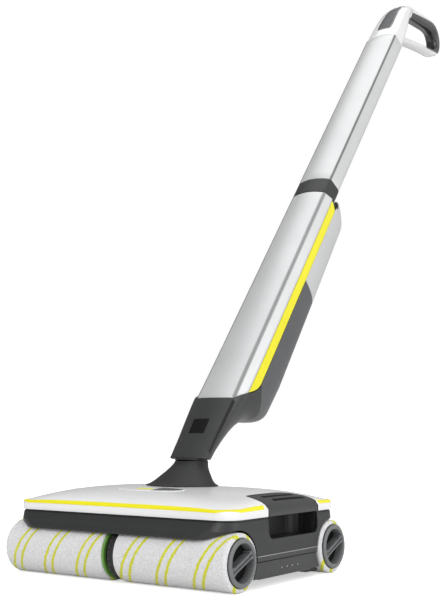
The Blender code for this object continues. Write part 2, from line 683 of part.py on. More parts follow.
def knuckle():
    """Fork on the pitch pins, rising to the round spigot that the stick swivels on."""
    y, z = PITCH_AXIS[1:]
    sy, sz = SWIVEL_AXIS[1:]
    arms = []
    for side in (-1, 1):
        near, far = sorted((side * 0.0080, side * 0.0131))
        arm = hull([(y, z, 0.0080), (y + 0.006, 0.0925, 0.0075)])
        arms.append(prism(f"fork_{side}", arm, "x", near, far, parent=WORLD))
    stem = hull([(y + 0.006, 0.0905, 0.0055), (sy - 0.007, 0.108, 0.0085)])
    fork = prism("knuckle", stem, "x", -0.0131, 0.0131, "charcoal", WORLD)
    top = sz - 0.0008
    collar = prism("knuckle_collar", ellipse(0.0172, 0.0112, 20, (0, 0.027)), "z", 0.1135, top, parent=WORLD)
    spigot = cylinder("knuckle_spigot", (0, sy), 0.0079, "z", 0.1195, sz + 0.0060, parent=WORLD, sides=20)
    join(fork, *arms, collar, spigot)
    for side in (-1, 1):
        near, far = sorted((side * 0.0060, side * 0.0150))
        cut(fork, cylinder(f"fork_hole_{side}", (y, z), 0.0033, "x", near, far, parent=WORLD, sides=20))
    clip = turned("swivel_clip", ring_profile(sz + 0.0044, sz + 0.0058, 0.0082, 0.0094), "steel", WORLD,
                  axis="z", sides=20)
    clip.location = (0, sy, 0)


# ---------------------------------------------------------------- stick
# Stations along the stick: height, crease half-width and depth, crown, side start, side end, back, power.
STATIONS = (
    (-0.0250, 0.0238, -0.0118, 0.0030, 0.0240, -0.0088, 0.0240, -0.0060, 0.0085, 2.0),
    (0.0130, 0.0248, -0.0118, 0.0033, 0.0251, -0.0084, 0.0251, -0.0058, 0.0104, 2.0),
    (0.0300, 0.0256, -0.0118, 0.0036, 0.0261, -0.0078, 0.0261, -0.0050, 0.0135, 2.0),
    (0.0500, 0.0262, -0.0118, 0.0039, 0.0275, -0.0060, 0.0275, -0.0030, 0.0190, 2.0),
    (0.0640, 0.0266, -0.0117, 0.0042, 0.0289, -0.0040, 0.0289, -0.0010, 0.0245, 2.0),
    (0.0760, 0.0268, -0.0116, 0.0044, 0.0303, -0.0020, 0.0304, 0.0025, 0.0315, 2.0),
    (0.0860, 0.0267, -0.0116, 0.0045, 0.0313, -0.0010, 0.0313, 0.0060, 0.0400, 2.1),
    (0.0940, 0.0265, -0.0115, 0.0046, 0.0320, -0.0005, 0.0320, 0.0100, 0.0520, 2.4),
    (0.1020, 0.0264, -0.0115, 0.0047, 0.0325, -0.0002, 0.0324, 0.0140, 0.0620, 2.8),
    (0.1120, 0.0263, -0.0115, 0.0047, 0.0328, 0.0000, 0.0326, 0.0165, 0.0668, 3.0),
    (0.1570, 0.0260, -0.0115, 0.0048, 0.0330, 0.0000, 0.0326, 0.0172, 0.0688, 3.2),
    (0.3100, 0.0257, -0.0118, 0.0050, 0.0326, 0.0000, 0.0320, 0.0170, 0.0642, 3.2),
    (0.4440, 0.0254, -0.0120, 0.0050, 0.0318, 0.0000, 0.0310, 0.0140, 0.0630, 2.8),
    (0.4560, 0.0254, -0.0120, 0.0050, 0.0300, 0.0000, 0.0295, 0.0130, 0.0560, 2.4),
    (0.4675, 0.0254, -0.0120, 0.0050, 0.0282, 0.0000, 0.0280, 0.0100, 0.0330, 2.0),
    (0.4690, 0.0254, -0.0120, 0.0050, 0.0281, 0.0000, 0.0280, 0.0080, 0.0240, 2.0),
)
CROWN_STATION = 0.450  # above this the rear wall turns over, so its inner side also drops
TUBE_SECTION = (0.0254, -0.0120, 0.0050, 0.0280, 0.0060, 0.0280, 0.0080, 0.0225, 2.0)


def stick_ring(height, section, inset=0.0):
    """One closed section of the stick in its own frame: x across, y back, z along."""
    crease, depth, crown, side, side_y, end, end_y, back, power = section
    right = []
    for k in range(4):
        x = crease * k / 3
        right.append((x, depth - crown * (1 - (x / crease) ** 2)))
    right.append(((crease + side) / 2, (depth + side_y) / 2))
    right.append((side, side_y))
    for k in range(6):
        angle = math.pi / 2 * k / 5
        right.append((end * max(0.0, math.cos(angle)) ** (2 / power),
                      end_y + (back - end_y) * math.sin(angle) ** (2 / power)))
    left = [(-x, y) for x, y in right[-2:0:-1]]
    ring = right + left
    half_x = max(x for x, _ in ring)
    low_y = min(y for _, y in ring)
    high_y = max(y for _, y in ring)
    middle, half_y = (low_y + high_y) / 2, (high_y - low_y) / 2
    return [(x * (1 - inset / half_x), middle + (y - middle) * (1 - inset / half_y), height) for x, y in ring]


def shrink_ring(ring, inset):
    """Moves every point of a ring inwards along its own normal."""
    moved = []
    count = len(ring)
    for i, (x, y) in enumerate(ring):
        (xa, ya), (xb, yb) = ring[i - 1], ring[(i + 1) % count]
        length = math.hypot(xb - xa, yb - ya)
        moved.append((x - (yb - ya) / length * inset, y + (xb - xa) / length * inset))
    return moved


def stick_solid(name, inset=0.0, look=None):
    """The whole lower stick as one solid, from which its pieces are cut."""
    rings = [stick_ring(height, section, inset) for height, *section in STATIONS]
    return loft(name, rings, look, STICK)


def stick_shell(name, look, region, wall=BODY_WALL):
    """The part of the stick's outer wall that lies within a region seen from the side."""
    rings = [stick_ring(height, section) for height, *section in STATIONS]
    inner = [stick_ring(height - (wall if height > CROWN_STATION else 0), section, wall)
             for height, *section in STATIONS]
    shell = loft(name, rings + inner[::-1], look, STICK, cyclic=True)
    boolean(shell, prism(name + "_region", region, "x", -0.05, 0.05, parent=STICK), "INTERSECT")
    return shell


def stripe_band():
    """Side view of the yellow stripe: along the stick, with a swept lower end."""
    front, back = 0.0030, 0.0170
    return [(front, 0.1010), (back - 0.003, 0.1150), (back, 0.1220),
            (back, 0.4370), (front + 0.004, 0.4440), (front, 0.4440)]


# The tank's upper edge and the way it draws out both fall a little towards the back.
TANK_SLOPE = 0.15


def tank_edge(y, shift=0.0):
    return (y, TANK_TOP + shift - TANK_SLOPE * (y - 0.0176))


def level(y, above=0.0):
    """A point of the stick's side view that is at the height of the swivel joint, or just above it."""
    return (y, y * math.tan(LEAN) + GAP + above)


def stick_covers():
    """Outer wall of the lower stick, parted into casing, front shell, stripes and back cover."""
    neck_region = [level(-0.0200), level(0.0700), (0.0440, 0.0660), (0.0437, 0.0890), *CHEEK[::-1]]
    neck = stick_shell("neck_casing", "charcoal", neck_region, 0.0026)
    floor = stick_solid("neck_floor", 0.0010)
    slab = [level(-0.03), level(0.07), level(0.07, 0.0040), level(-0.03, 0.0040)]
    boolean(floor, prism("neck_floor_slab", slab, "x", -0.05, 0.05, parent=STICK), "INTERSECT")
    join(neck, floor)
    cut(neck, cylinder("spigot_hole", (0, SWIVEL_AXIS[1]), 0.0083, "z", 0.10, 0.1262, parent=WORLD, sides=20))

    front = CHEEK[0][0] - 0.01
    shell_region = [(front, 0.0750), (-0.0200, 0.0750), (-0.0118, 0.0805), (0.0024, 0.1005),
                    (0.0027, COLLAR_LOW - GAP), (front, COLLAR_LOW - GAP)]
    stick_shell("body_shell", "silver", shell_region)
    for side, low, high in (("left", -0.05, 0.0), ("right", 0.0, 0.05)):
        band = stick_shell("side_stripe_" + side, "yellow", stripe_band())
        other = box("stripe_other_" + side, (-high, -0.05, 0.0), (-low, 0.1, 0.5), parent=STICK)
        cut(band, other)
    back_region = [tank_edge(0.0174, 0.0005), tank_edge(0.09, 0.0005), (0.0900, 0.4700), (0.0236, 0.4700),
                   (0.0236, COLLAR_LOW - GAP), (0.0174, COLLAR_LOW - GAP)]
    cover = stick_shell("back_cover", "silver", back_region)
    latch_hole = rounded_rectangle(0.0083, 0.0085, 0.003, 3, (0, LATCH_Z + 0.0015))
    cut(cover, prism("latch_hole", latch_hole, "y", 0.05, 0.08, parent=STICK))


def stick_tank():
    """Clean-water tank on the back of the stick, filled through a plugged hole in its back."""
    region = [(0.0176, 0.1260), (0.0395, 0.0965), (0.0441, 0.0895), (0.0446, 0.0740), (0.10, 0.0700),
              tank_edge(0.10), tank_edge(0.0176)]
    tank = stick_solid("fresh_tank", 0, "tank_grey")
    boolean(tank, prism("tank_region", region, "x", -0.05, 0.05, parent=STICK), "INTERSECT")
    room = stick_solid("tank_room", 0.0022)
    inside = [(0.0200, 0.1290), (0.0425, 0.1000), (0.0480, 0.0925), (0.10, 0.0925),
              tank_edge(0.10, -0.0025), tank_edge(0.0200, -0.0025)]
    boolean(room, prism("tank_room_region", inside, "x", -0.05, 0.05, parent=STICK), "INTERSECT")
    hole = cylinder("tank_filler", (0, CAP_Z), 0.0090, "y", 0.055, 0.080, parent=STICK, sides=24)
    cut(tank, room, hole)

    cap = [(0.0030, 0.0), (0.0030, 0.0110), (0.0022, 0.0122), (0.0, 0.0122),
           (0.0, 0.0086), (-0.0050, 0.0070), (-0.0050, 0.0)]
    plug = turned("tank_cap", [(CAP_FACE + along, radius) for along, radius in cap], "rubber", STICK,
                  axis="y", sides=20)
    plug.location = (0, 0, CAP_Z)
    tab = prism("tank_cap_tab", rounded_rectangle(0.0050, 0.0060, 0.002, 3, (0, CAP_Z + 0.0125)), "y",
                CAP_FACE, CAP_FACE + 0.0022, parent=STICK)
    join(plug, tab)


def stick_insides():
    """Spine plate, battery, pump and circuit board held inside the lower stick."""
    box("body_spine", (-0.0285, 0.0135, 0.1270), (0.0285, 0.0153, 0.4440), "charcoal", STICK)
    box("battery_pack", (-0.0225, -0.0095, 0.1100), (0.0225, 0.0125, 0.3000), "charcoal", STICK, bevel=0.003)
    box("circuit_board", (-0.0190, 0.0205, 0.3300), (0.0190, 0.0221, 0.4300), "board", STICK)
    pump = cylinder("water_pump", (0, 0.0400), 0.0130, "z", 0.3350, 0.3950, "grey", STICK, sides=24)
    join(pump, cylinder("pump_inlet", (0, 0.0400), 0.0040, "z", 0.3200, 0.3360, parent=STICK, sides=16),
         cylinder("pump_head", (0, 0.0400), 0.0105, "z", 0.3940, 0.4080, parent=STICK, sides=24))


def tank_latch():
    """Sliding catch in the back cover that holds the top of the tank."""
    plate = rounded_rectangle(0.0078, 0.0065, 0.0026, 3, (0, LATCH_Z))
    prism("tank_latch", plate, "y", 0.0600, 0.0660, "grey", STICK, bevel=0.0008)


def upper_stick():
    """Collar and the extruded tube above it."""
    for name, low, high, look, grow, wall in (
            ("stick_collar", COLLAR_LOW, COLLAR_HIGH - GAP, "charcoal", -0.0003, 0.0030),
            ("upper_tube", COLLAR_HIGH, TUBE_TOP, "silver", 0.0, 0.0018)):
        outer = [stick_ring(height, TUBE_SECTION, grow) for height in (low, high)]
        inner = [stick_ring(height, TUBE_SECTION, wall) for height in (high, low)]
        loft(name, outer + inner, look, STICK, cyclic=True)
    prism("badge_plate", rounded_rectangle(0.0095, 0.0095, 0.001, 2, (0, 0.0368)), "y",
          -0.0178, -0.0164, "black_gloss", STICK)


# Stations of the handle's head: as the stick's, but thinning towards the top.
HEAD_STATIONS = (
    (TUBE_TOP + GAP, 0.0254, -0.0120, 0.0050, 0.0280, 0.0060, 0.0280, 0.0080, 0.0225, 2.0),
    (0.8780, 0.0240, -0.0112, 0.0048, 0.0264, 0.0030, 0.0264, 0.0045, 0.0160, 2.2),
    (0.9030, 0.0225, -0.0098, 0.0045, 0.0246, 0.0010, 0.0246, 0.0025, 0.0110, 2.3),
    (0.9220, 0.0205, -0.0065, 0.0040, 0.0224, 0.0015, 0.0224, 0.0030, 0.0100, 2.3),
    (0.9360, 0.0182, -0.0010, 0.0035, 0.0198, 0.0050, 0.0198, 0.0060, 0.0140, 2.3),
    (0.9460, 0.0155, 0.0065, 0.0030, 0.0168, 0.0105, 0.0168, 0.0120, 0.0200, 2.2),
    (0.9520, 0.0115, 0.0150, 0.0020, 0.0125, 0.0170, 0.0125, 0.0180, 0.0260, 2.0),
)
LOOP_OUTER = ((0.0000, 0.8600), (0.0160, 0.8630), (0.0500, 0.8970), (0.1080, 0.9530), (0.1300, 0.9800),
              (0.1220, 1.0130), (0.0980, 1.0310), (0.0800, 1.0220), (0.0270, 0.9740), (0.0080, 0.9560),
              (0.0000, 0.9300))
LOOP_INNER = ((0.0080, 0.8820), (0.0160, 0.8840), (0.0700, 0.9370), (0.1020, 0.9670), (0.1120, 0.9860),
              (0.1040, 1.0040), (0.0860, 1.0010), (0.0400, 0.9600), (0.0120, 0.9340), (0.0060, 0.9080))
GRIP_REGION = ((0.0235, 0.9560), (0.0560, 0.9915), (0.0850, 1.0165), (0.0980, 1.0200), (0.1080, 1.0160),
               (0.1165, 1.0050), (0.1225, 0.9920), (0.1235, 0.9820), (0.0960, 0.9560), (0.0880, 0.9640),
               (0.0960, 0.9850), (0.0600, 0.9640), (0.0380, 0.9350))
LOOP_HALF = 0.0115
HANDLE_WALL = 0.0034
LENS_LOW, LENS_HIGH = 0.8530, 0.9300
LENS_DEPTH = 0.0022


def corners_cut(outline):
    """The outline with each corner replaced by two points, a quarter of the way along its sides."""
    points = []
    for (xa, ya), (xb, yb) in zip(outline, outline[1:] + outline[:1]):
        points.append((0.75 * xa + 0.25 * xb, 0.75 * ya + 0.25 * yb))
        points.append((0.25 * xa + 0.75 * xb, 0.25 * ya + 0.75 * yb))
    return points


def handle():
    """White loop handle with a dark soft insert, a lens and two buttons."""
    rings = [stick_ring(height, section) for height, *section in HEAD_STATIONS]
    shell = loft("handle_shell", rings, "white", STICK)
    outer, inner = corners_cut(LOOP_OUTER), corners_cut(LOOP_INNER)
    join(shell, prism("handle_loop", outer, "x", -LOOP_HALF, LOOP_HALF, parent=STICK, bevel=0.0035))
    cut(shell, prism("handle_opening", inner, "x", -0.04, 0.04, parent=STICK),
        prism("grip_seat", GRIP_REGION, "x", -0.04, 0.04, parent=STICK))
    hollow = [stick_ring(height, section, HANDLE_WALL) for height, *section in HEAD_STATIONS[:5]]
    hollow[0] = [(x, y, TUBE_TOP - 0.001) for x, y, _ in hollow[0]]
    room = loft("handle_room", [[(x, y + 0.0010, z) for x, y, z in ring] for ring in hollow], None, STICK)
    cut(shell, room)
    snug = shrink_ring(GRIP_REGION[::-1], GAP)
    grip = prism("grip_insert", snug, "x", -LOOP_HALF, LOOP_HALF, "rubber", STICK, bevel=0.0025)
    cut(grip, prism("grip_opening", inner, "x", -0.04, 0.04, parent=STICK))

    cut(shell, lens_loft("lens_seat", 0.0006, 0.0040, None))
    lens = lens_loft("display_lens", 0.0, 0.0004, "black_gloss")
    button("power_button", 0.9440, 0.0058, "charcoal", shell)
    button("mode_button", 0.9200, 0.0030, "grey", shell, lens)


def head_front(height):
    """Depth and slope of the head's front face on its middle line."""
    rows = [(row[0], row[2] - row[3]) for row in HEAD_STATIONS]
    for (z0, y0), (z1, y1) in zip(rows, rows[1:]):
        if z0 <= height <= z1:
            return y0 + (y1 - y0) * (height - z0) / (z1 - z0), (y1 - y0) / (z1 - z0)
    return rows[-1][1], 0.0


def lens_loft(name, grow, proud, look):
    """Lens that follows the curve of the head's front face and stands a little proud of it."""
    rings = []
    count = 7
    thick = proud + LENS_DEPTH + grow / 2
    for k in range(count):
        t = k / (count - 1)
        height = LENS_LOW - grow + (LENS_HIGH - LENS_LOW + 2 * grow) * t
        half = (0.0155 - 0.0045 * t) * (0.80 if k in (0, count - 1) else 1.0) + grow
        front, _ = head_front(height)
        crown = 0.0045 * (half / 0.024) ** 2
        top = [(half * f, front - proud + crown * f * f) for f in (-1, -0.5, 0, 0.5, 1)]
        bottom = [(x, y + thick) for x, y in top[::-1]]
        rings.append([(x, y, height) for x, y in top + bottom])
    return loft(name, rings, look, STICK)


def button(name, height, radius, look, *holed):
    """Round push button, square to the head's front face, in a clearance hole through other pieces."""
    front, slope = head_front(height)
    tilt = math.atan(slope)
    seat = empty(name + "_axis", STICK, (0, front, height), -tilt)
    for thing in holed:
        cut(thing, cylinder(name + "_hole", (0, 0), radius + GAP, "y", -0.010, 0.0052, parent=seat, sides=16))
    face = [(0.0030, 0.0), (0.0030, radius), (-0.0008, radius), (-0.0014, radius - 0.0008), (-0.0014, 0.0)]
    turned(name, face, look, seat, axis="y", sides=16)


drive_train()
drive_housing()
covers()
casing()
chassis()
scrapers()
waste_tray()
release_button()
boot()
knuckle()
stick_covers()
stick_tank()
stick_insides()
tank_latch()
upper_stick()
handle()
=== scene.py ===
"""Looks of the wet dry floor scrubber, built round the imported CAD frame.

Metres. Head measures count from the middle of the four rollers; stick measures are in the stick's own
frame, with x across, y to the back and z along it.
"""

import json
import math

import bmesh
import bpy
import numpy as np
from mathutils import Matrix, Vector, kdtree, noise
from mathutils.geometry import delaunay_2d_cdt


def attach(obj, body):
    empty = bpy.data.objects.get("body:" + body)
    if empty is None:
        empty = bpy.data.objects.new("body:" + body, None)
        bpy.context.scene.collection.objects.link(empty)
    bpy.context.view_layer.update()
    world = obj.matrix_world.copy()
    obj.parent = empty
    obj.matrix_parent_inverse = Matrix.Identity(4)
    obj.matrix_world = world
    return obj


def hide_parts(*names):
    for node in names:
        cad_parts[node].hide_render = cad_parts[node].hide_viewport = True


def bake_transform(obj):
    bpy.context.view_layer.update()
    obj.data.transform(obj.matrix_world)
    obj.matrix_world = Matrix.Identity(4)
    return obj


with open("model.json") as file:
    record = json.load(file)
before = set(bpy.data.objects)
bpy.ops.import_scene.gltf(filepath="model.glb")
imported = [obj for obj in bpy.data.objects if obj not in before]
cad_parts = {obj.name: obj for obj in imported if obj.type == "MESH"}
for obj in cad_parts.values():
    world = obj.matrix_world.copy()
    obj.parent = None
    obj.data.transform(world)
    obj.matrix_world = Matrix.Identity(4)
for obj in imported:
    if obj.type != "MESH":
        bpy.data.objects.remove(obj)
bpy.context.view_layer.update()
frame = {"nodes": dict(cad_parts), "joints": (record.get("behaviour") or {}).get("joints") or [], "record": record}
NODES = frame["nodes"]
JOINTS = {joint["name"]: joint for joint in frame["joints"]}


def joint_at(name):
    return Vector(JOINTS[name]["pos_m"])


# ---------------------------------------------------------------- frames and shared sizes
FRONT_AXLE, REAR_AXLE = joint_at("front_roller_spin"), joint_at("rear_roller_spin")
HEAD_Y = (FRONT_AXLE.y + REAR_AXLE.y) / 2
AXLE_Y = (REAR_AXLE.y - FRONT_AXLE.y) / 2
AXLE_Z = FRONT_AXLE.z
HEAD = Matrix.Translation((0, HEAD_Y, 0))
SWIVEL = joint_at("neck_swivel")
ALONG = Vector(JOINTS["tank_latch_slide"]["axis"]).normalized()
STICK = Matrix(((1, 0, 0, SWIVEL.x), (0, ALONG.z, ALONG.y, SWIVEL.y), (0, -ALONG.y, ALONG.z, SWIVEL.z),
                (0, 0, 0, 1)))
LEAN = math.atan2(ALONG.y, ALONG.z)

ROLLER_START, ROLLER_END = 0.0075, 0.1475
COVER_HALF = (0.1455, 0.1045)
COVER_CORNER = 0.020
RIM_LOW, RIM_HIGH, DOME_RISE = 0.0684, 0.0745, 0.0185
SIDE_LOW = 0.0313
ARCH_RADIUS = 0.0304
GRIP_FRONT, GRIP_BACK, GRIP_INNER, GRIP_BEND = -0.037, 0.060, 0.118, 0.020
TANK_TOP, TANK_SLOPE = 0.303, 0.15
COLLAR_LOW, COLLAR_HIGH, TUBE_TOP = 0.447, 0.475, 0.832


# ---------------------------------------------------------------- materials
def blank_material(name):
    """A new material with its tree, its shader and a source of object coordinates."""
    made = bpy.data.materials.new(name)
    made.use_nodes = True
    tree = made.node_tree
    return made, tree, tree.nodes["Principled BSDF"], tree.nodes.new("ShaderNodeTexCoord")


def noise_node(tree, place, scale, detail, roughness=0.5):
    node = tree.nodes.new("ShaderNodeTexNoise")
    node.inputs["Scale"].default_value = scale
    node.inputs["Detail"].default_value = detail
    node.inputs["Roughness"].default_value = roughness
    tree.links.new(place.outputs["Object"], node.inputs["Vector"])
    return node.outputs["Fac"]


def ramp_node(tree, source, *stops):
    """Colours between two stops, each a position and a colour."""
    node = tree.nodes.new("ShaderNodeValToRGB")
    for element, (position, colour) in zip(node.color_ramp.elements, stops):
        element.position = position
        element.color = (*colour, 1)
    tree.links.new(source, node.inputs["Fac"])
    return node.outputs["Color"]


def map_node(tree, source, **limits):
    node = tree.nodes.new("ShaderNodeMapRange")
    for name, value in limits.items():
        node.inputs[name.replace("_", " ").title()].default_value = value
    tree.links.new(source, node.inputs["Value"])
    return node.outputs["Result"]


def bump(tree, shader, height, distance):
    node = tree.nodes.new("ShaderNodeBump")
    node.inputs["Strength"].default_value = 1.0
    node.inputs["Distance"].default_value = distance
    tree.links.new(height, node.inputs["Height"])
    tree.links.new(node.outputs["Normal"], shader.inputs["Normal"])


def math_node(tree, operation, *values):
    node = tree.nodes.new("ShaderNodeMath")
    node.operation = operation
    for socket, value in zip(node.inputs, values):
        if isinstance(value, (int, float)):
            socket.default_value = value
        else:
            tree.links.new(value, socket)
    return node.outputs[0]


def material(name, colour, roughness, metallic=0.0, spread=0.05, patch=18, grain=900, relief=0.0, coat=0.0):
    """Procedural finish: base colour and roughness that drift a little, and a fine moulded grain."""
    made, tree, shader, place = blank_material(name)
    shader.inputs["Metallic"].default_value = metallic
    shader.inputs["Coat Weight"].default_value = coat
    shader.inputs["Coat Roughness"].default_value = 0.12
    dark = [c * (1 - spread) for c in colour]
    light = [min(1, c * (1 + spread)) for c in colour]
    drift = noise_node(tree, place, patch, 3.0)
    tree.links.new(ramp_node(tree, drift, (0.3, dark), (0.7, light)), shader.inputs["Base Color"])
    fine = noise_node(tree, place, grain, 4.0)
    rough = map_node(tree, fine, to_min=max(0.02, roughness - ROUGH_SPREAD),
                     to_max=min(1.0, roughness + ROUGH_SPREAD))
    tree.links.new(rough, shader.inputs["Roughness"])
    if relief:
        bump(tree, shader, fine, relief)
    return made


ROUGH_SPREAD = 0.06
STRIPE_PITCH, STRIPE_APART, STRIPE_HALF, STARTS = 0.046, 0.0112, 0.0018, 2
STRIPE_WANDER = 0.0022


def fleece(name, axle, phase):
    """White pile with a pair of thin yellow lines that wind round the roller."""
    made, tree, shader, place = blank_material(name)
    shader.inputs["Sheen Weight"].default_value = 0.25
    shader.inputs["Roughness"].default_value = 0.95
    pile = noise_node(tree, place, 900.0, 5.0, 0.65)
    blotch = noise_node(tree, place, 260.0, 2.0)
    split = tree.nodes.new("ShaderNodeSeparateXYZ")
    tree.links.new(place.outputs["Object"], split.inputs[0])
    y = math_node(tree, "SUBTRACT", axle.y, split.outputs["Y"])
    z = math_node(tree, "SUBTRACT", split.outputs["Z"], axle.z)
    turns = math_node(tree, "DIVIDE", math_node(tree, "ARCTAN2", z, y), 2 * math.pi)
    wander = math_node(tree, "MULTIPLY", math_node(tree, "SUBTRACT", blotch, 0.5), STRIPE_WANDER)
    across = math_node(tree, "DIVIDE", math_node(tree, "ADD", split.outputs["X"], wander), STRIPE_PITCH)
    turn = math_node(tree, "SUBTRACT", math_node(tree, "ADD", across, phase),
                     math_node(tree, "MULTIPLY", turns, STARTS))
    half = STRIPE_HALF / STRIPE_PITCH
    lines = []
    for offset in (0.0, STRIPE_APART / STRIPE_PITCH):
        saw = math_node(tree, "FRACT", math_node(tree, "ADD", turn, 10.5 - offset))
        far = math_node(tree, "ABSOLUTE", math_node(tree, "SUBTRACT", saw, 0.5))
        lines.append(map_node(tree, far, from_min=half * 1.35, from_max=half * 0.65))
    mix = tree.nodes.new("ShaderNodeMix")
    mix.data_type = "RGBA"
    tree.links.new(math_node(tree, "MAXIMUM", *lines), mix.inputs["Factor"])
    white = ramp_node(tree, pile, (0.34, (0.55, 0.545, 0.56)), (0.60, (0.78, 0.78, 0.79)))
    yellow = ramp_node(tree, pile, (0.36, (0.48, 0.49, 0.010)), (0.62, (0.72, 0.72, 0.015)))
    tree.links.new(white, mix.inputs["A"])
    tree.links.new(yellow, mix.inputs["B"])
    tree.links.new(mix.outputs["Result"], shader.inputs["Base Color"])
    bump(tree, shader, pile, 0.0007)
    return made


# Colour, roughness, metallic, then how far the colour drifts, the scales of drift and grain, relief, coat.
FINISHES = {
    # white_gloss and cover_white are one white plastic: white_gloss is darker, painted shade for the handle, which
    # stands nearer the lamps.
    "white_gloss": ((0.74, 0.74, 0.75), 0.24, 0.0, 0.015, 18, 500, 0.000004, 0.3),
    "silver_satin": ((0.62, 0.625, 0.63), 0.40, 0.35, 0.03, 18, 2600, 0.00002, 0.0),
    "charcoal_matte": ((0.019, 0.020, 0.021), 0.46, 0.0, 0.10, 18, 2200, 0.00006, 0.0),
    "tank_grey": ((0.085, 0.087, 0.090), 0.40, 0.0, 0.05, 18, 1800, 0.00003, 0.0),
    "roller_grey": ((0.150, 0.155, 0.158), 0.48, 0.0, 0.06, 18, 1800, 0.00004, 0.0),
    "light_grey": ((0.34, 0.345, 0.36), 0.42, 0.0, 0.05, 18, 1800, 0.00004, 0.0),
    "yellow_gloss": ((0.86, 0.79, 0.004), 0.35, 0.0, 0.03, 18, 1500, 0.00001, 0.0),
    "fleece_plain": ((0.85, 0.85, 0.86), 0.95, 0.0, 0.05, 18, 900, 0.0005, 0.0),
    "roller_green": ((0.12, 0.29, 0.05), 0.45, 0.0, 0.08, 18, 1500, 0.00003, 0.0),
    "soft_black": ((0.012, 0.0125, 0.013), 0.60, 0.0, 0.14, 18, 2600, 0.00007, 0.0),
    "cast_steel": ((0.09, 0.09, 0.095), 0.5, 0.3, 0.1, 18, 700, 0.00008, 0.0),
    "bright_steel": ((0.55, 0.56, 0.58), 0.25, 1.0, 0.04, 18, 2500, 0.00001, 0.0),
    "gear_white": ((0.75, 0.75, 0.72), 0.4, 0.0, 0.03, 18, 1500, 0.00002, 0.0),
    "black_lens": ((0.017, 0.018, 0.021), 0.16, 0.0, 0.15, 18, 900, 0.000004, 0.6),
    "board_green": ((0.03, 0.16, 0.08), 0.45, 0.0, 0.2, 260, 900, 0.00005, 0.0),
    "battery_black": ((0.035, 0.035, 0.04), 0.5, 0.0, 0.1, 18, 1500, 0.00004, 0.0),
    "band_grey": ((0.030, 0.031, 0.032), 0.40, 0.0, 0.06, 18, 2200, 0.00004, 0.0),
    # The three crease greys are painted shade: dark strips laid along the fold between front and side.
    "crease_shade_dark": ((0.17, 0.17, 0.172), 0.50, 0.2, 0.04, 18, 2200, 0.00002, 0.0),
    "crease_shade_soft": ((0.36, 0.362, 0.366), 0.50, 0.2, 0.04, 18, 2200, 0.00002, 0.0),
    "crease_shade_middle": ((0.26, 0.262, 0.266), 0.50, 0.2, 0.04, 18, 2200, 0.00002, 0.0),
    "deep_black": ((0.006, 0.006, 0.0065), 0.65, 0.0, 0.14, 18, 2600, 0.00004, 0.0),
    "neck_shade": ((0.008, 0.008, 0.0085), 0.60, 0.0, 0.14, 18, 2600, 0.00004, 0.0),
    "cover_white": ((0.83, 0.83, 0.84), 0.24, 0.0, 0.015, 18, 500, 0.000004, 0.3),
    "lens_grey": ((0.030, 0.033, 0.038), 0.42, 0.0, 0.08, 18, 1800, 0.00003, 0.0),
    "grip_grey": ((0.026, 0.026, 0.027), 0.27, 0.0, 0.16, 18, 1600, 0.00008, 0.4),
}
LOOKS = {name: material(name, *finish) for name, finish in FINISHES.items()}
LOOKS["fleece"] = LOOKS["fleece_plain"]
BAND_GREY = LOOKS["band_grey"]
# Painted shade along the creases of the stick.
CREASE_SHADE_DARK = LOOKS["crease_shade_dark"]
CREASE_SHADE_SOFT = LOOKS["crease_shade_soft"]
CREASE_SHADE_MIDDLE = LOOKS["crease_shade_middle"]
DEEP_BLACK = LOOKS["deep_black"]
NECK_SHADE = LOOKS["neck_shade"]
COVER_WHITE = LOOKS["cover_white"]
LENS_GREY = LOOKS["lens_grey"]
GRIP_GREY = LOOKS["grip_grey"]
for made, shine in ((DEEP_BLACK, 0.12), (NECK_SHADE, 0.30)):
    made.node_tree.nodes["Principled BSDF"].inputs["Specular IOR Level"].default_value = shine


# ---------------------------------------------------------------- piece helpers
def new_object(name, verts, faces, place, merge=False):
    """A mesh object in the frame's own axes, its faces turned outwards."""
    mesh = bpy.data.meshes.new(name)
    mesh.from_pydata([place @ Vector(v) for v in verts], [], faces)
    bm = bmesh.new()
    bm.from_mesh(mesh)
    if merge:
        bmesh.ops.remove_doubles(bm, verts=bm.verts, dist=1e-7)
    bmesh.ops.recalc_face_normals(bm, faces=bm.faces)
    bm.to_mesh(mesh)
    bm.free()
    thing = bpy.data.objects.new(name, mesh)
    bpy.context.scene.collection.objects.link(thing)
    return thing


def piece(name, verts, faces, body, slot, nodes=(), place=HEAD, sharp=32, look=None, ride=True):
    """A visible piece that rides on a CAD body and stands for some CAD nodes."""
    thing = new_object(name, verts, faces, place, merge=True)
    thing.data.materials.append(look or LOOKS[slot])
    soften(thing, sharp)
    if ride:
        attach(thing, body)
    if nodes:
        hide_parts(*nodes)
    return thing


def soften(thing, sharp):
    thing.data.shade_smooth()
    thing.data.set_sharp_from_angle(angle=math.radians(sharp))


def bake(thing, sharp=32):
    """Makes the modifiers' result the thing's own mesh."""
    graph = bpy.context.evaluated_depsgraph_get()
    mesh = bpy.data.meshes.new_from_object(thing.evaluated_get(graph))
    thing.modifiers.clear()
    thing.data = mesh
    soften(thing, sharp)
    return thing


def helper(name, verts, faces, place=HEAD):
    """A mesh that only cuts others, and is removed again."""
    return new_object(name, verts, faces, place)


def carve(thing, cutters, operation="DIFFERENCE", sharp=32):
    """Applies the cutters one after another, and removes them."""
    for cutter in cutters:
        modifier = thing.modifiers.new("carve", "BOOLEAN")
        modifier.object = cutter
        modifier.operation = operation
        modifier.solver = "EXACT"
    bake(thing, sharp)
    for cutter in cutters:
        bpy.data.objects.remove(cutter)
    return thing


def bevel(thing, width, angle=50):
    """Rounds the edges that are sharper than an angle."""
    edge = thing.modifiers.new("edge", "BEVEL")
    edge.width = width
    edge.segments = 2
    edge.limit_method = "ANGLE"
    edge.angle_limit = math.radians(angle)
    return thing


def solidify(thing, thickness, rounding=0.0004):
    """Gives a skin its wall, inwards, and rounds its rim."""
    wall = thing.modifiers.new("wall", "SOLIDIFY")
    wall.thickness = thickness
    wall.offset = -1
    wall.use_even_offset = True
    return bevel(thing, rounding)


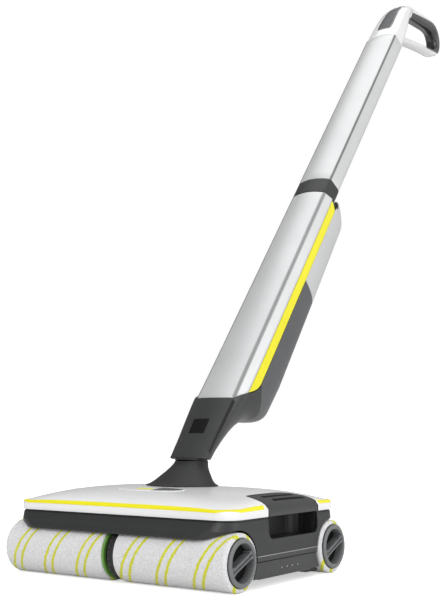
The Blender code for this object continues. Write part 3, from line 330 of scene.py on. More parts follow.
def loft_mesh(rings, closed_along=False, caps=True):
    """Vertices and faces of a skin between rings of equally many points."""
    count = len(rings[0])
    verts = [point for ring in rings for point in ring]
    faces = []
    last = len(rings) if closed_along else len(rings) - 1
    for r in range(last):
        a, b = r * count, (r + 1) % len(rings) * count
        for i in range(count):
            j = (i + 1) % count
            faces.append((a + i, a + j, b + j, b + i))
    if caps and not closed_along:
        faces.append(tuple(range(count))[::-1])
        faces.append(tuple(range((len(rings) - 1) * count, len(rings) * count)))
    return verts, faces


AXIS_POINT = {
    "x": lambda p, q, along: (along, p, q),
    "y": lambda p, q, along: (p, along, q),
    "z": lambda p, q, along: (p, q, along),
}


def prism_mesh(outline, axis, low, high):
    put = AXIS_POINT[axis]
    return loft_mesh([[put(p, q, low) for p, q in outline], [put(p, q, high) for p, q in outline]])


def side_prism(outline, sign, near, far):
    """A prism across x on the side that the sign tells."""
    return prism_mesh(outline, "x", *sorted((sign * near, sign * far)))


def turned_mesh(profile, sides=96, centre=(0.0, 0.0), axis="x"):
    """A closed (along, radius) profile spun round an axis."""
    put = AXIS_POINT[axis]
    rings = []
    for k in range(sides):
        angle = 2 * math.pi * k / sides
        c, s = math.cos(angle), math.sin(angle)
        rings.append([put(centre[0] + radius * c, centre[1] + radius * s, along)
                      for along, radius in profile])
    return loft_mesh(rings, closed_along=True)


def rounded_rectangle(half_x, half_y, radius, steps=8, middle=(0, 0)):
    points = []
    for sx, sy, start in ((1, 1, 0), (-1, 1, 90), (-1, -1, 180), (1, -1, 270)):
        cx, cy = middle[0] + sx * (half_x - radius), middle[1] + sy * (half_y - radius)
        for k in range(steps + 1):
            angle = math.radians(start + 90 * k / steps)
            points.append((cx + radius * math.cos(angle), cy + radius * math.sin(angle)))
    return points


def ellipse(half_x, half_y, count, middle=(0, 0)):
    angles = [2 * math.pi * k / count for k in range(count)]
    return [(middle[0] + half_x * math.cos(a), middle[1] + half_y * math.sin(a)) for a in angles]


def arc(centre, radius, start, end, count):
    angles = [math.radians(start + (end - start) * k / (count - 1)) for k in range(count)]
    return [(centre[0] + radius * math.cos(a), centre[1] + radius * math.sin(a)) for a in angles]


def resample(loop, step):
    """The closed loop with its long sides divided, its own points kept."""
    points = []
    for (xa, ya), (xb, yb) in zip(loop, loop[1:] + loop[:1]):
        count = max(1, math.ceil(math.hypot(xb - xa, yb - ya) / step))
        points += [(xa + (xb - xa) * k / count, ya + (yb - ya) * k / count) for k in range(count)]
    return points


def offset_ring(ring, distance):
    """Every point moved to the ring's left: inwards when it runs anticlockwise."""
    moved = []
    for i, (x, y) in enumerate(ring):
        (xa, ya), (xb, yb) = ring[i - 1], ring[(i + 1) % len(ring)]
        length = math.hypot(xb - xa, yb - ya) or 1e-9
        moved.append((x - (yb - ya) / length * distance, y + (xb - xa) / length * distance))
    return moved


def smooth_path(points, per=8, closed=False):
    """Catmull-Rom points through rows of numbers."""
    rows = [np.array(p, float) for p in points]
    count = len(rows)
    path = []
    for i in range(count if closed else count - 1):
        if closed:
            a, b, c, d = (rows[(i + k) % count] for k in (-1, 0, 1, 2))
        else:
            a, b, c, d = rows[max(0, i - 1)], rows[i], rows[i + 1], rows[min(count - 1, i + 2)]
        for k in range(per):
            t = k / per
            path.append(0.5 * (2 * b + (c - a) * t + (2 * a - 5 * b + 4 * c - d) * t * t
                               + (3 * b - a - 3 * c + d) * t ** 3))
    if not closed:
        path.append(rows[-1])
    return path


def inside(point, loop):
    x, y = point
    found = False
    for (xa, ya), (xb, yb) in zip(loop, loop[1:] + loop[:1]):
        if (ya > y) != (yb > y) and x < xa + (y - ya) * (xb - xa) / (yb - ya):
            found = not found
    return found


TUCK = 0.0004


def sheet_mesh(outline, holes, height, wall, edge=0.0006, spacing=0.005, floor=None,
               insets=(0.0, 0.00015, 0.0004, 0.0009, 0.002, 0.0042)):
    """A moulded sheet over a plan: rounded edges, an even wall, and deeper sides where floor gives one."""
    loops = [outline] + holes
    points, drops, spans = [], [], []
    for loop in loops:
        spans.append((len(points), len(loop)))
        for inset in insets:
            short = max(0.0, edge - inset)
            drop = edge - math.sqrt(max(0.0, edge * edge - short * short)) if edge else 0.0
            points += offset_ring(loop, inset) if inset else loop
            drops += [drop] * len(loop)
    tree = kdtree.KDTree(len(points))
    for i, (x, y) in enumerate(points):
        tree.insert((x, y, 0), i)
    tree.balance()
    xs, ys = [p[0] for p in outline], [p[1] for p in outline]
    rows = math.ceil((max(ys) - min(ys)) / spacing)
    columns = math.ceil((max(xs) - min(xs)) / spacing)
    for r in range(rows + 1):
        for c in range(columns + 1):
            point = (min(xs) + (c + 0.5 * (r % 2)) * spacing, min(ys) + r * spacing)
            if tree.find((*point, 0))[2] < spacing * 0.5:
                continue
            if inside(point, outline) and not any(inside(point, hole) for hole in holes):
                points.append(point)
                drops.append(0.0)
    edges = [(first + i, first + (i + 1) % count) for first, count in spans for i in range(count)]
    flat, _, triangles, origins, _, _ = delaunay_2d_cdt([Vector(p) for p in points], edges, [], 0, 1e-7)
    new_index = {}
    for i, olds in enumerate(origins):
        for old in olds:
            new_index[old] = i
    drop_of = [drops[olds[0]] if olds else 0.0 for olds in origins]
    count = len(flat)
    top = [(p.x, p.y, height(p.x, p.y) - drop) for p, drop in zip(flat, drop_of)]
    verts = top + [(x, y, z - wall) for x, y, z in top]
    faces = []
    for triangle in triangles:
        middle = sum((flat[i] for i in triangle), Vector((0, 0))) / 3
        if inside(middle, outline) and not any(inside(middle, hole) for hole in holes):
            faces.append(tuple(triangle))
            faces.append(tuple(count + i for i in triangle[::-1]))
    for first, many in spans:
        ring = [new_index[first + i] for i in range(many)]
        tucked = offset_ring([tuple(flat[i]) for i in ring], TUCK)
        start = len(verts)
        for i, (x, y) in zip(ring, tucked):
            low = floor(flat[i].x, flat[i].y) if floor else None
            low = verts[count + i][2] if low is None else low
            verts.append((flat[i].x, flat[i].y, low + TUCK))
            verts[count + i] = (x, y, low)
        for k in range(many):
            a, b, c, d = ring[k], ring[(k + 1) % many], start + k, start + (k + 1) % many
            faces.append((a, b, d, c))
            faces.append((c, d, count + b, count + a))
    return verts, faces


# ---------------------------------------------------------------- rollers
TUFTS = 620


def sleeve_mesh(low, high, seed):
    """The pile's own surface: rounded ends and soft tufts."""
    radius, inner, around, step = 0.0284, 0.0236, 210, 0.00085
    round_off = 0.0042
    count = round((high - low) / step)
    stations = []
    for k in range(9):
        angle = math.pi / 2 * k / 8
        stations.append((low + round_off * (1 - math.cos(angle)) * 0.75,
                         radius - round_off * (1 - math.sin(angle))))
    for k in range(1, count):
        x = low + (high - low) * k / count
        if low + round_off * 0.8 < x < high - round_off * 0.8:
            stations.append((x, radius))
    stations += [(low + high - x, r) for x, r in stations[8::-1]]
    stations = [(low + 0.0006, inner)] + stations + [(high - 0.0006, inner)]
    rings = []
    for k, (x, r) in enumerate(stations):
        ring = []
        soft = 0.0 if k in (0, len(stations) - 1) else 1.0
        for i in range(around):
            angle = 2 * math.pi * i / around
            c, s = math.cos(angle), math.sin(angle)
            spot = Vector((x * TUFTS + seed, c * r * TUFTS, s * r * TUFTS))
            nap = noise.noise(spot) * 0.00030 + noise.noise(spot * 0.28) * 0.00016
            ring.append((x + soft * 0.3 * nap, c * (r + soft * nap), s * (r + soft * nap)))
        rings.append(ring)
    return loft_mesh(rings, closed_along=True)


PHASES = {("front", "left"): -0.22, ("front", "right"): 0.45, ("rear", "left"): 0.35,
          ("rear", "right"): 0.6}


def rollers():
    for row, axle in (("front", FRONT_AXLE), ("rear", REAR_AXLE)):
        place = Matrix.Translation(axle)
        for side, sign in (("left", -1), ("right", 1)):
            body = f"{row}_{side}_roller"
            low, high = sorted((sign * ROLLER_START, sign * ROLLER_END))
            look = fleece(body + "_pile", axle, PHASES[row, side])
            piece(body + "_pile", *sleeve_mesh(low, high, 40.0 * sign + (200 if row == "rear" else 0)),
                  body, "fleece", [body + "_sleeve"], place, 80, look)
            web = 0.050
            core = [(0.1385, 0.0221), (0.0088, 0.0221), (0.0085, 0.0218), (0.0085, 0.0205),
                    (0.0088, 0.0202), (web, 0.0202), (web, 0.0075), (0.0085, 0.0075), (0.0085, 0.0050),
                    (web + 0.012, 0.0050), (web + 0.012, 0.0075), (web + 0.003, 0.0075),
                    (web + 0.003, 0.0202), (0.1385, 0.0202)]
            collar = [(0.0050, 0.0264), (0.0050, 0.0226), (0.0105, 0.0226), (0.0105, 0.0262),
                      (0.0054, 0.0266)]
            if sign > 0:
                collar = [(x + 0.0028, r - 0.0026) for x, r in collar]
            cap = [(0.1499, 0.0224), (0.1502, 0.0219), (0.1502, 0.0195), (0.1499, 0.0190), (0.1490, 0.0187),
                   (0.1404, 0.0183), (0.1404, 0.0), (0.1388, 0.0), (0.1388, 0.0199), (0.1478, 0.0199),
                   (0.1478, 0.0228), (0.1480, 0.0232), (0.1492, 0.0232)]
            # A thin deep black disc inside the cap's recess: painted shade that darkens the recess.
            recess_shade = [(0.1410, 0.0183), (0.1410, 0.0), (0.1403, 0.0), (0.1403, 0.0183)]
            for name, profile, slot, nodes, look in (
                    ("_tube", core, "roller_green", [body + "_core"], None),
                    ("_collar", collar, "roller_green", [], None),
                    ("_end", cap, "roller_grey", [body + "_cap"], None),
                    ("_recess_shade", recess_shade, "soft_black", [], DEEP_BLACK)):
                verts, faces = turned_mesh([(sign * x, r) for x, r in profile])
                piece(body + name, verts, faces, body, slot, nodes, place, look=look)
            end_bar(body, sign, place)


def end_bar(body, sign, place):
    """Finger bar across the recess of an end cap: two ridges, and a slotted pad at each end."""
    tilt = place @ Matrix.Rotation(math.radians(24), 4, "X")
    for name, middle, half, long, low, high in (
            ("ridge_a", 0.0022, 0.00075, 0.0178, 0.1400, 0.1497),
            ("ridge_b", -0.0022, 0.00075, 0.0178, 0.1400, 0.1497),
            ("web", 0.0, 0.0018, 0.0180, 0.1400, 0.1478)):
        shape = rounded_rectangle(long, half, min(half, 0.0007), 4, (0, middle))
        verts, faces = side_prism(shape, sign, low, high)
        piece(f"{body}_{name}", verts, faces, body, "roller_grey", (), tilt)
    for name, end in (("near", -1), ("far", 1)):
        pad = rounded_rectangle(0.0018, 0.0042, 0.0009, 4, (end * 0.0163, 0))
        verts, faces = side_prism(pad, sign, 0.1400, 0.1494)
        piece(f"{body}_pad_{name}", verts, faces, body, "roller_grey", (), tilt)
        slot = rounded_rectangle(0.0007, 0.0022, 0.0006, 4, (end * 0.0163, 0))
        verts, faces = side_prism(slot, sign, 0.1492, 0.14965)
        piece(f"{body}_mark_{name}", verts, faces, body, "soft_black", (), tilt)


def spoke(y, angle, corners):
    """Corners given as (radius, sideways) along a spoke from an axle."""
    c, s = math.cos(angle), math.sin(angle)
    return [(y + c * r - s * w, AXLE_Z + s * r + c * w) for r, w in corners]


def arm_ribs():
    """Ribbed disc at the end of each arm, where it shows between the two rollers of a row."""
    for row, sign in (("front", -1), ("rear", 1)):
        y = sign * AXLE_Y
        edge = [(0.0066, 0.0090), (0.0066, 0.0255), (0.0060, 0.0262), (-0.0004, 0.0262), (-0.0010, 0.0255),
                (-0.0010, 0.0090)]
        piece(row + "_arm_disc", *turned_mesh(edge, 96, (y, AXLE_Z)), "head", "charcoal_matte",
              look=LOOKS["soft_black"])
        for k in range(28):
            angle = 2 * math.pi * (k + 0.5) / 28
            block = spoke(y, angle,
                          ((0.0255, 0.0014), (0.0255, -0.0014), (0.0268, -0.0012), (0.0268, 0.0012)))
            piece(f"{row}_arm_tooth_{k}", *prism_mesh(block, "x", 0.0002, 0.0030), "head", "charcoal_matte",
                  look=BAND_GREY)
        ring = [(0.0060, 0.0105), (0.0060, 0.0088), (-0.0060, 0.0088), (-0.0060, 0.0105)]
        piece(row + "_arm_ring", *turned_mesh(ring, 64, (y, AXLE_Z)), "head", "charcoal_matte")
        for k in range(4):
            angle = math.radians(205 + 28 * k) if sign < 0 else math.radians(-25 - 28 * k)
            quad = spoke(y, angle,
                         ((0.0095, 0.0006), (0.0165, 0.0006), (0.0165, -0.0006), (0.0095, -0.0006)))
            piece(f"{row}_arm_rib_{k}", *prism_mesh(quad, "x", -0.0050, 0.0050), "head", "charcoal_matte")


# ---------------------------------------------------------------- head
def dome_height(x, y):
    across = max(0.0, 1 - abs(x / COVER_HALF[0]) ** 4) ** 0.5
    along = max(0.0, 1 - abs(y / COVER_HALF[1]) ** 2.3) ** 0.5
    return RIM_HIGH + DOME_RISE * across * along


def on_dome(lift):
    return lambda x, y: dome_height(x, y) + lift


RELEASE_HALF, RELEASE_Y = (0.0465, 0.0125), -0.047
BOOT_Y = 0.009


def grip_side(grow):
    """Right side grip's inner edge, from its front corner round to the rim at the back."""
    inner = GRIP_INNER - grow
    points = [(COVER_HALF[0], GRIP_FRONT - grow), (inner + 0.003, GRIP_FRONT - grow)]
    points += arc((inner + 0.003, GRIP_FRONT - grow + 0.003), 0.003, 270, 180, 6)[1:]
    points.append((inner, GRIP_BEND))
    for k in range(1, 19):
        angle = math.radians(90 * k / 18)
        points.append((inner + (COVER_HALF[0] - inner) * (1 - math.cos(angle)),
                       GRIP_BEND + (GRIP_BACK - GRIP_BEND + grow) * math.sin(angle)))
    return points


def cover_outline():
    rim = rounded_rectangle(*COVER_HALF, COVER_CORNER, 20)
    right = grip_side(0.0006)
    left = [(-x, y) for x, y in right]
    per = 21
    # The rim runs anticlockwise from the right rear corner. The right notch closes it, and the left one
    # is in its middle.
    loop = rim[:2 * per] + left[::-1] + rim[2 * per:] + right
    return resample(loop, 0.0045)


def on_rim(x, y):
    if abs(x) > COVER_HALF[0] - 1e-4 or abs(y) > COVER_HALF[1] - 1e-4:
        return True
    dx, dy = abs(x) - COVER_HALF[0] + COVER_CORNER, abs(y) - COVER_HALF[1] + COVER_CORNER
    return dx > 0 and dy > 0 and math.hypot(dx, dy) > COVER_CORNER - 1e-4


def rim_floor(x, y):
    return RIM_LOW if on_rim(x, y) else None


def covers():
    boot_hole = resample(ellipse(0.0400, 0.0275, 72, (0, BOOT_Y)), 0.004)[::-1]
    release = ellipse(RELEASE_HALF[0] + 0.0003, RELEASE_HALF[1] + 0.0003, 96, (0, RELEASE_Y))[::-1]
    edge_rings = (0.0, 0.0002, 0.0005, 0.001, 0.0018, 0.003, 0.005, 0.008, 0.012)
    verts, faces = sheet_mesh(cover_outline(), [boot_hole, release], dome_height, 0.0022, 0.0006, 0.0050,
                              rim_floor, edge_rings)
    piece("cover_white", verts, faces, "head", "white_gloss", ["top_cover"], sharp=50, look=COVER_WHITE)
    for side, sign in (("right", 1), ("left", -1)):
        outline = [(sign * x, y) for x, y in grip_side(-0.0003)]
        outline = outline if sign < 0 else outline[::-1]
        slots = []
        for x, low, high in ((0.1268, -0.022, 0.038), (0.1356, -0.015, 0.048)):
            slots.append(rounded_rectangle(0.0019, (high - low) / 2, 0.0017, 6,
                                           (sign * x, (high + low) / 2))[::-1])
        verts, faces = sheet_mesh(resample(outline, 0.0030), [resample(slot, 0.003) for slot in slots],
                                  on_dome(0.0002), 0.0024, 0.0010, 0.0035, rim_floor,
                                  (0.0, 0.0002, 0.0005, 0.001))
        piece("grip_" + side, verts, faces, "head", "charcoal_matte", ["side_grip_" + side], sharp=50,
              look=BAND_GREY)
        # Each slot is filled flush with a deep black sheet: painted shade inside the opening.
        for k, slot in enumerate(slots):
            verts, faces = sheet_mesh(resample(slot[::-1], 0.003), [], on_dome(0.0001), 0.0008, 0.0001,
                                      0.004, None, (0.0, 0.0002))
            piece(f"grip_slot_shade_{side}_{k}", verts, faces, "head", "soft_black", sharp=50, look=DEEP_BLACK)
        # Deep black strips along the grip's edge and at its two ends on the rim: painted shade in the gap between
        # grip and cover.
        seam = grip_side(0.0008) + grip_side(-0.0003)[::-1]
        seam = [(sign * x, y) for x, y in seam]
        verts, faces = sheet_mesh(seam if sign < 0 else seam[::-1], [], on_dome(0.00025), 0.0009, 0.0,
                                  0.004, None, (0.0,))
        piece("grip_seam_shade_" + side, verts, faces, "head", "soft_black", sharp=50, look=DEEP_BLACK)
        near, far = sorted((sign * (COVER_HALF[0] - 0.001), sign * (COVER_HALF[0] + 0.0002)))
        for k, y in enumerate((GRIP_FRONT - 0.0004, GRIP_BACK + 0.0004)):
            edge = [(y - 0.0006, RIM_LOW), (y + 0.0006, RIM_LOW), (y + 0.0006, RIM_HIGH),
                    (y - 0.0006, RIM_HIGH)]
            piece(f"grip_seam_shade_{side}_{k}", *prism_mesh(edge, "x", near, far), "head", "soft_black",
                  look=DEEP_BLACK)
    release_button()
    for sign, name in ((-1, "front"), (1, "rear")):
        stripe(name, sign)


def release_button():
    outline = ellipse(RELEASE_HALF[0] - 0.0004, RELEASE_HALF[1] - 0.0004, 96, (0, RELEASE_Y))
    verts, faces = sheet_mesh(outline, [], on_dome(0.0005), 0.0050, 0.0008, 0.0030)
    piece("release_oval", verts, faces, "cover_release", "white_gloss", ["cover_release"], sharp=50,
          look=COVER_WHITE)
    # Dark crescent inside the right end of the oval: painted shadow.
    right = [(x, y) for x, y in ellipse(RELEASE_HALF[0] - 0.0022, RELEASE_HALF[1] - 0.0022, 96,
                                        (0, RELEASE_Y)) if x > 0.006]
    right.sort(key=lambda p: math.atan2(p[1] - RELEASE_Y, p[0] - 0.006))
    verts, faces = sheet_mesh(resample(right, 0.002), [], on_dome(0.0007), 0.0010, 0.0002, 0.0020,
                              None, (0.0, 0.0004))
    piece("release_painted_shadow", verts, faces, "cover_release", "light_grey", sharp=50, look=LOOKS["tank_grey"])
    for k in range(5):
        mark = rounded_rectangle(0.0015, 0.0042, 0.0014, 4, (-0.0150 + 0.0042 * k, RELEASE_Y))
        verts, faces = sheet_mesh(mark, [], on_dome(0.0007), 0.0010, 0.0001, 0.0020, None, (0.0, 0.0003))
        piece(f"release_mark_{k}", verts, faces, "cover_release", "yellow_gloss", sharp=50)


def stripe(name, sign):
    """Yellow inlay along the shoulder of the cover, round its two corners."""
    plan = resample(rounded_rectangle(*COVER_HALF, COVER_CORNER, 24), 0.004)
    path = [p for p in plan if sign * p[1] > (0.0415 if sign < 0 else 0.0645)]
    path.sort(key=lambda p: math.atan2(p[0], sign * p[1]))
    rows = []
    for inset, lift in ((0.0003, -0.0006), (0.0003, 0.0002), (0.0006, 0.0006), (0.0018, 0.0007),
                        (0.0034, 0.0006), (0.0038, 0.0002), (0.0038, -0.0006), (0.0018, -0.0006)):
        out, up = (0.8, 0.5) if inset < 0.001 else (0.55, 0.83)
        row = []
        for x, y in path:
            near = (x * (1 - inset / COVER_HALF[0]), y * (1 - inset / COVER_HALF[1]))
            row.append((near[0] * (1 + lift * out / COVER_HALF[0]),
                        near[1] * (1 + lift * out / COVER_HALF[1]), dome_height(*near) + lift * up))
        rows.append(row)
    piece(name + "_line", *loft_mesh([list(section) for section in zip(*rows)]), "head", "yellow_gloss",
          [name + "_stripe"], sharp=60)


def casing():
    """Dark casing: a shadowed band under the cover, a flared panel, a crease and a lower lip."""
    wall = 0.0022
    levels = ((RIM_LOW - 0.0003, 0.1437, 0.1026, 0.020), (0.0668, 0.1438, 0.1030, 0.020),
              (0.0664, 0.1445, 0.1042, 0.021), (0.0625, 0.1450, 0.1066, 0.024),
              (0.0585, 0.1453, 0.1092, 0.028), (0.0580, 0.1454, 0.1099, 0.029),
              (0.0550, 0.1455, 0.1117, 0.035), (0.0532, 0.1455, 0.1125, 0.039),
              (0.0518, 0.1455, 0.1130, 0.041), (SIDE_LOW, 0.1455, 0.1130, 0.042))
    outer = [[(x, y, z) for x, y in rounded_rectangle(a, b, r, 16)] for z, a, b, r in levels]
    inner = [[(x, y, z) for x, y in rounded_rectangle(a - wall, b - wall, r - wall, 16)]
             for z, a, b, r in levels]
    verts, faces = loft_mesh(outer + inner[::-1], closed_along=True)
    shell = piece("casing", verts, faces, "head", "charcoal_matte", ["lower_casing"], sharp=24)
    cutters = []
    for sign in (-1, 1):
        top = arc((AXLE_Y, AXLE_Z), ARCH_RADIUS, 55, 180, 90)
        lip = [(0.13, 0.0497), (0.1150, 0.0497), (0.1125, 0.0500), (0.1100, 0.0509), (0.1080, 0.0521)]
        base = [(AXLE_Y - ARCH_RADIUS, 0.020), (0.13, 0.020)]
        mouth = [(sign * y, z) for y, z in lip + top + base]
        cutters.append(helper("arch", *prism_mesh(mouth, "x", -0.16, 0.16)))
        cutters.append(helper("window", *side_prism(window_outline(), sign, 0.140, 0.150)))
    carve(shell, cutters, sharp=24)
    bevel(shell, 0.0004, 55)


def window_outline():
    low, high, radius = 0.0460, 0.0800, 0.008
    points = arc((GRIP_FRONT + radius, low + radius), radius, 180, 270, 12)
    points += arc((GRIP_BACK - radius, low + radius), radius, 270, 360, 12)
    return points + [(GRIP_BACK, high), (GRIP_FRONT, high)]


def tray():
    """Tray with its end panels: a ledge on top with a painted highlight strip along its upper edge and a painted
    shade line under it, and small marks on the right one.
    """
    low, high, wall = 0.0080, 0.0310, 0.0018
    tub = [(-0.050, low), (0.050, low), (0.0545, high), (-0.0545, high)]
    room = [(-0.0480, low + wall), (0.0480, low + wall), (0.0530, high + 0.01), (-0.0530, high + 0.01)]
    body = piece("tray_tub", *prism_mesh(tub, "x", -0.1420, 0.1420), "waste_tray", "tank_grey",
                 ["waste_tray"])
    carve(body, [helper("tray_room", *prism_mesh(room, "x", -0.1405, 0.1405))])
    bend = arc((AXLE_Y, AXLE_Z), ARCH_RADIUS + 0.0012, 175, 217, 30)
    bend_y, bend_z = zip(*bend[::-1])
    panel = bend + [(-y, z) for y, z in bend[::-1]]
    for side, sign in (("left", -1), ("right", 1)):
        thing = piece(f"tray_panel_{side}", *side_prism(panel, sign, 0.1418, 0.1446), "waste_tray",
                      "tank_grey", look=BAND_GREY)
        bevel(thing, 0.0006)
        # The light grey rim strip is a painted highlight along the ledge's top edge; the deep black strip below
        # the ledge is painted shade.
        for name, low_z, high_z, out, look in (("ledge", 0.0258, 0.0304, 0.1453, BAND_GREY),
                                               ("rim", 0.0304, 0.0330, 0.1456, LOOKS["light_grey"]),
                                               ("shade_gap", 0.0248, 0.0258, 0.1448, DEEP_BLACK)):
            line = [(float(np.interp(z, bend_z, bend_y)), z)
                    for z in np.linspace(min(high_z, bend[0][1]), low_z, 5)]
            strip = line + [(-y, z) for y, z in line[::-1]]
            thing = piece(f"tray_{name}_{side}", *side_prism(strip, sign, 0.1440, out), "waste_tray",
                          "tank_grey", look=look)
            bevel(thing, 0.0002)
        for k, y in enumerate((-0.012, -0.002, 0.008, 0.019)):
            spot = [(sign * 0.1449, 0.0008), (sign * 0.1449, 0.0), (sign * 0.1440, 0.0),
                    (sign * 0.1440, 0.0008)]
            piece(f"tray_spot_{side}_{k}", *turned_mesh(spot, 20, (y, 0.0165)), "waste_tray", "light_grey")


def skids():
    """Low dark runners between the tray and the rear rollers."""
    outline = [(0.0300, 0.0085), (0.0600, 0.0120), (0.0665, 0.0048), (0.0420, 0.0052)]
    for side, sign in (("left", -1), ("right", 1)):
        thing = piece("skid_" + side, *side_prism(outline, sign, 0.100, 0.1415), "waste_tray", "tank_grey",
                      look=LOOKS["soft_black"])
        bevel(thing, 0.0005)


def boot():
    """Rubber boot, flared at its foot."""
    stations = ((0.0934, 0.0452, 0.0318, 0.0), (0.0941, 0.0446, 0.0313, 0.02),
                (0.0953, 0.0412, 0.0290, 0.06), (0.0985, 0.0366, 0.0262, 0.18),
                (0.1040, 0.0312, 0.0230, 0.40), (0.1110, 0.0250, 0.0186, 0.68),
                (0.1165, 0.0218, 0.0158, 0.90), (0.1200, 0.0206, 0.0152, 1.0))
    rows = smooth_path(stations, 5)
    outer = [[(x, y, z) for x, y in ellipse(a, b, 96, (0, BOOT_Y + 0.018 * t))] for z, a, b, t in rows]
    inner = [[(x, y, z) for x, y in ellipse(a - 0.0016, b - 0.0016, 96, (0, BOOT_Y + 0.018 * t))]
             for z, a, b, t in rows]
    verts, faces = loft_mesh(outer + inner[::-1], closed_along=True)
    thing = piece("boot", verts, faces, "head", "soft_black", ["neck_boot"], sharp=60, ride=False)
    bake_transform(thing)
    slope = -math.tan(0.15 * LEAN)
    rings = [[(x, y, z + (y - 0.026) * slope) for x, y in ellipse(0.0202, 0.0146, 64, (0, 0.0260))]
             for z in np.linspace(0.1199, 0.1221, 8)]
    thing = piece("boot_top", *loft_mesh(rings), "stick", "soft_black", (), HEAD, ride=False)
    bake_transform(thing)


# ---------------------------------------------------------------- stick
# Height, half-width and depth of the crease, crown, half-width and depth of the side and of its end,
# back, power.
STATIONS = np.array((
    (-0.0250, 0.0238, -0.0118, 0.0030, 0.0240, -0.0088, 0.0240, -0.0060, 0.0085, 2.0),
    (0.0130, 0.0248, -0.0118, 0.0033, 0.0251, -0.0084, 0.0251, -0.0058, 0.0104, 2.0),
    (0.0300, 0.0256, -0.0118, 0.0036, 0.0261, -0.0078, 0.0261, -0.0050, 0.0135, 2.0),
    (0.0500, 0.0262, -0.0118, 0.0039, 0.0275, -0.0060, 0.0275, -0.0030, 0.0190, 2.0),
    (0.0640, 0.0266, -0.0117, 0.0042, 0.0289, -0.0040, 0.0289, -0.0010, 0.0245, 2.0),
    (0.0760, 0.0268, -0.0116, 0.0044, 0.0303, -0.0020, 0.0304, 0.0025, 0.0315, 2.0),
    (0.0860, 0.0267, -0.0116, 0.0045, 0.0313, -0.0010, 0.0313, 0.0060, 0.0400, 2.1),
    (0.0940, 0.0265, -0.0115, 0.0046, 0.0320, -0.0005, 0.0320, 0.0100, 0.0520, 2.4),
    (0.1020, 0.0264, -0.0115, 0.0047, 0.0325, -0.0002, 0.0324, 0.0140, 0.0620, 2.8),
    (0.1120, 0.0263, -0.0115, 0.0047, 0.0328, 0.0000, 0.0326, 0.0165, 0.0668, 3.0),
    (0.1570, 0.0260, -0.0115, 0.0048, 0.0330, 0.0000, 0.0326, 0.0172, 0.0688, 3.2),
    (0.3100, 0.0257, -0.0118, 0.0050, 0.0326, 0.0000, 0.0320, 0.0170, 0.0642, 3.2),
    (0.4440, 0.0254, -0.0120, 0.0050, 0.0318, 0.0000, 0.0310, 0.0140, 0.0630, 2.8),
    (0.4560, 0.0254, -0.0120, 0.0050, 0.0300, 0.0000, 0.0295, 0.0130, 0.0560, 2.4),
    (0.4675, 0.0254, -0.0120, 0.0050, 0.0282, 0.0000, 0.0280, 0.0100, 0.0330, 2.0),
    (0.4690, 0.0254, -0.0120, 0.0050, 0.0281, 0.0000, 0.0280, 0.0080, 0.0240, 2.0),
))
TUBE_SECTION = (0.0254, -0.0120, 0.0050, 0.0280, 0.0060, 0.0280, 0.0080, 0.0225, 2.0)
HEAD_STATIONS = np.array((
    (0.8320, 0.0254, -0.0120, 0.0050, 0.0280, 0.0060, 0.0280, 0.0080, 0.0225, 2.0),
    (0.8780, 0.0240, -0.0112, 0.0048, 0.0264, 0.0030, 0.0264, 0.0045, 0.0160, 2.2),
    (0.9030, 0.0225, -0.0098, 0.0045, 0.0246, 0.0010, 0.0246, 0.0025, 0.0110, 2.3),
    (0.9220, 0.0205, -0.0065, 0.0040, 0.0224, 0.0015, 0.0224, 0.0030, 0.0100, 2.3),
    (0.9360, 0.0182, -0.0010, 0.0035, 0.0198, 0.0050, 0.0198, 0.0060, 0.0140, 2.3),
    (0.9460, 0.0155, 0.0065, 0.0030, 0.0168, 0.0105, 0.0168, 0.0120, 0.0200, 2.2),
    (0.9520, 0.0115, 0.0150, 0.0020, 0.0125, 0.0170, 0.0125, 0.0180, 0.0260, 2.0),
))


def smoothed(table, window):
    """The stations at every millimetre, with their corners rounded off."""
    heights = np.arange(table[0, 0], table[-1, 0] + 0.0005, 0.001)
    rows = np.column_stack([np.interp(heights, table[:, 0], table[:, k]) for k in range(1, table.shape[1])])
    kernel = np.ones(window) / window
    for _ in range(2):
        padded = np.vstack([rows[:1]] * (window // 2) + [rows] + [rows[-1:]] * (window // 2))
        rows = np.column_stack([np.convolve(padded[:, k], kernel, "valid") for k in range(rows.shape[1])])
    return heights, rows


LOWER_TABLE = smoothed(STATIONS, 7)
HEAD_TABLE = smoothed(HEAD_STATIONS, 9)


def outline_half(section):
    """Right half of a section, from its front middle round to its back middle, by length along it."""
    crease, depth, crown, side, side_y, end, end_y, back, power = section
    t = np.linspace(0, 1, 40)
    xs, ys = [crease * t], [depth - crown * (1 - t * t)]
    t = np.linspace(0, 1, 14)[1:]
    xs.append(crease + (side - crease) * t)
    ys.append(depth + (side_y - depth) * t)
    angle = np.linspace(0, math.pi / 2, 90)
    xs.append(end * np.clip(np.cos(angle), 0, 1) ** (2 / power))
    ys.append(end_y + (back - end_y) * np.sin(angle) ** (2 / power))
    xs, ys = np.concatenate(xs), np.concatenate(ys)
    length = np.concatenate(([0], np.cumsum(np.hypot(np.diff(xs), np.diff(ys)))))
    crease_at = length[39]
    count = 240
    even = np.linspace(0, length[-1], count)
    xs, ys = np.interp(even, length, xs), np.interp(even, length, ys)
    kernel = np.ones(5) / 5
    for _ in range(2):
        wide_x = np.concatenate((-xs[2:0:-1], xs, -xs[-2:-4:-1]))
        wide_y = np.concatenate((ys[2:0:-1], ys, ys[-2:-4:-1]))
        xs, ys = np.convolve(wide_x, kernel, "valid"), np.convolve(wide_y, kernel, "valid")
    xs[0] = xs[-1] = 0
    return xs, ys, even, crease_at


CACHE = {}


def half_at(height, kind="stick"):
    """The section at a height of the lower body, the tube or the head."""
    key = (kind, round(height, 4))
    if key not in CACHE:
        if kind == "head":
            heights, rows = HEAD_TABLE
        else:
            heights, rows = LOWER_TABLE
        if kind == "tube":
            section = TUBE_SECTION
        else:
            section = [np.interp(height, heights, rows[:, k]) for k in range(rows.shape[1])]
        CACHE[key] = outline_half(section)
    return CACHE[key]


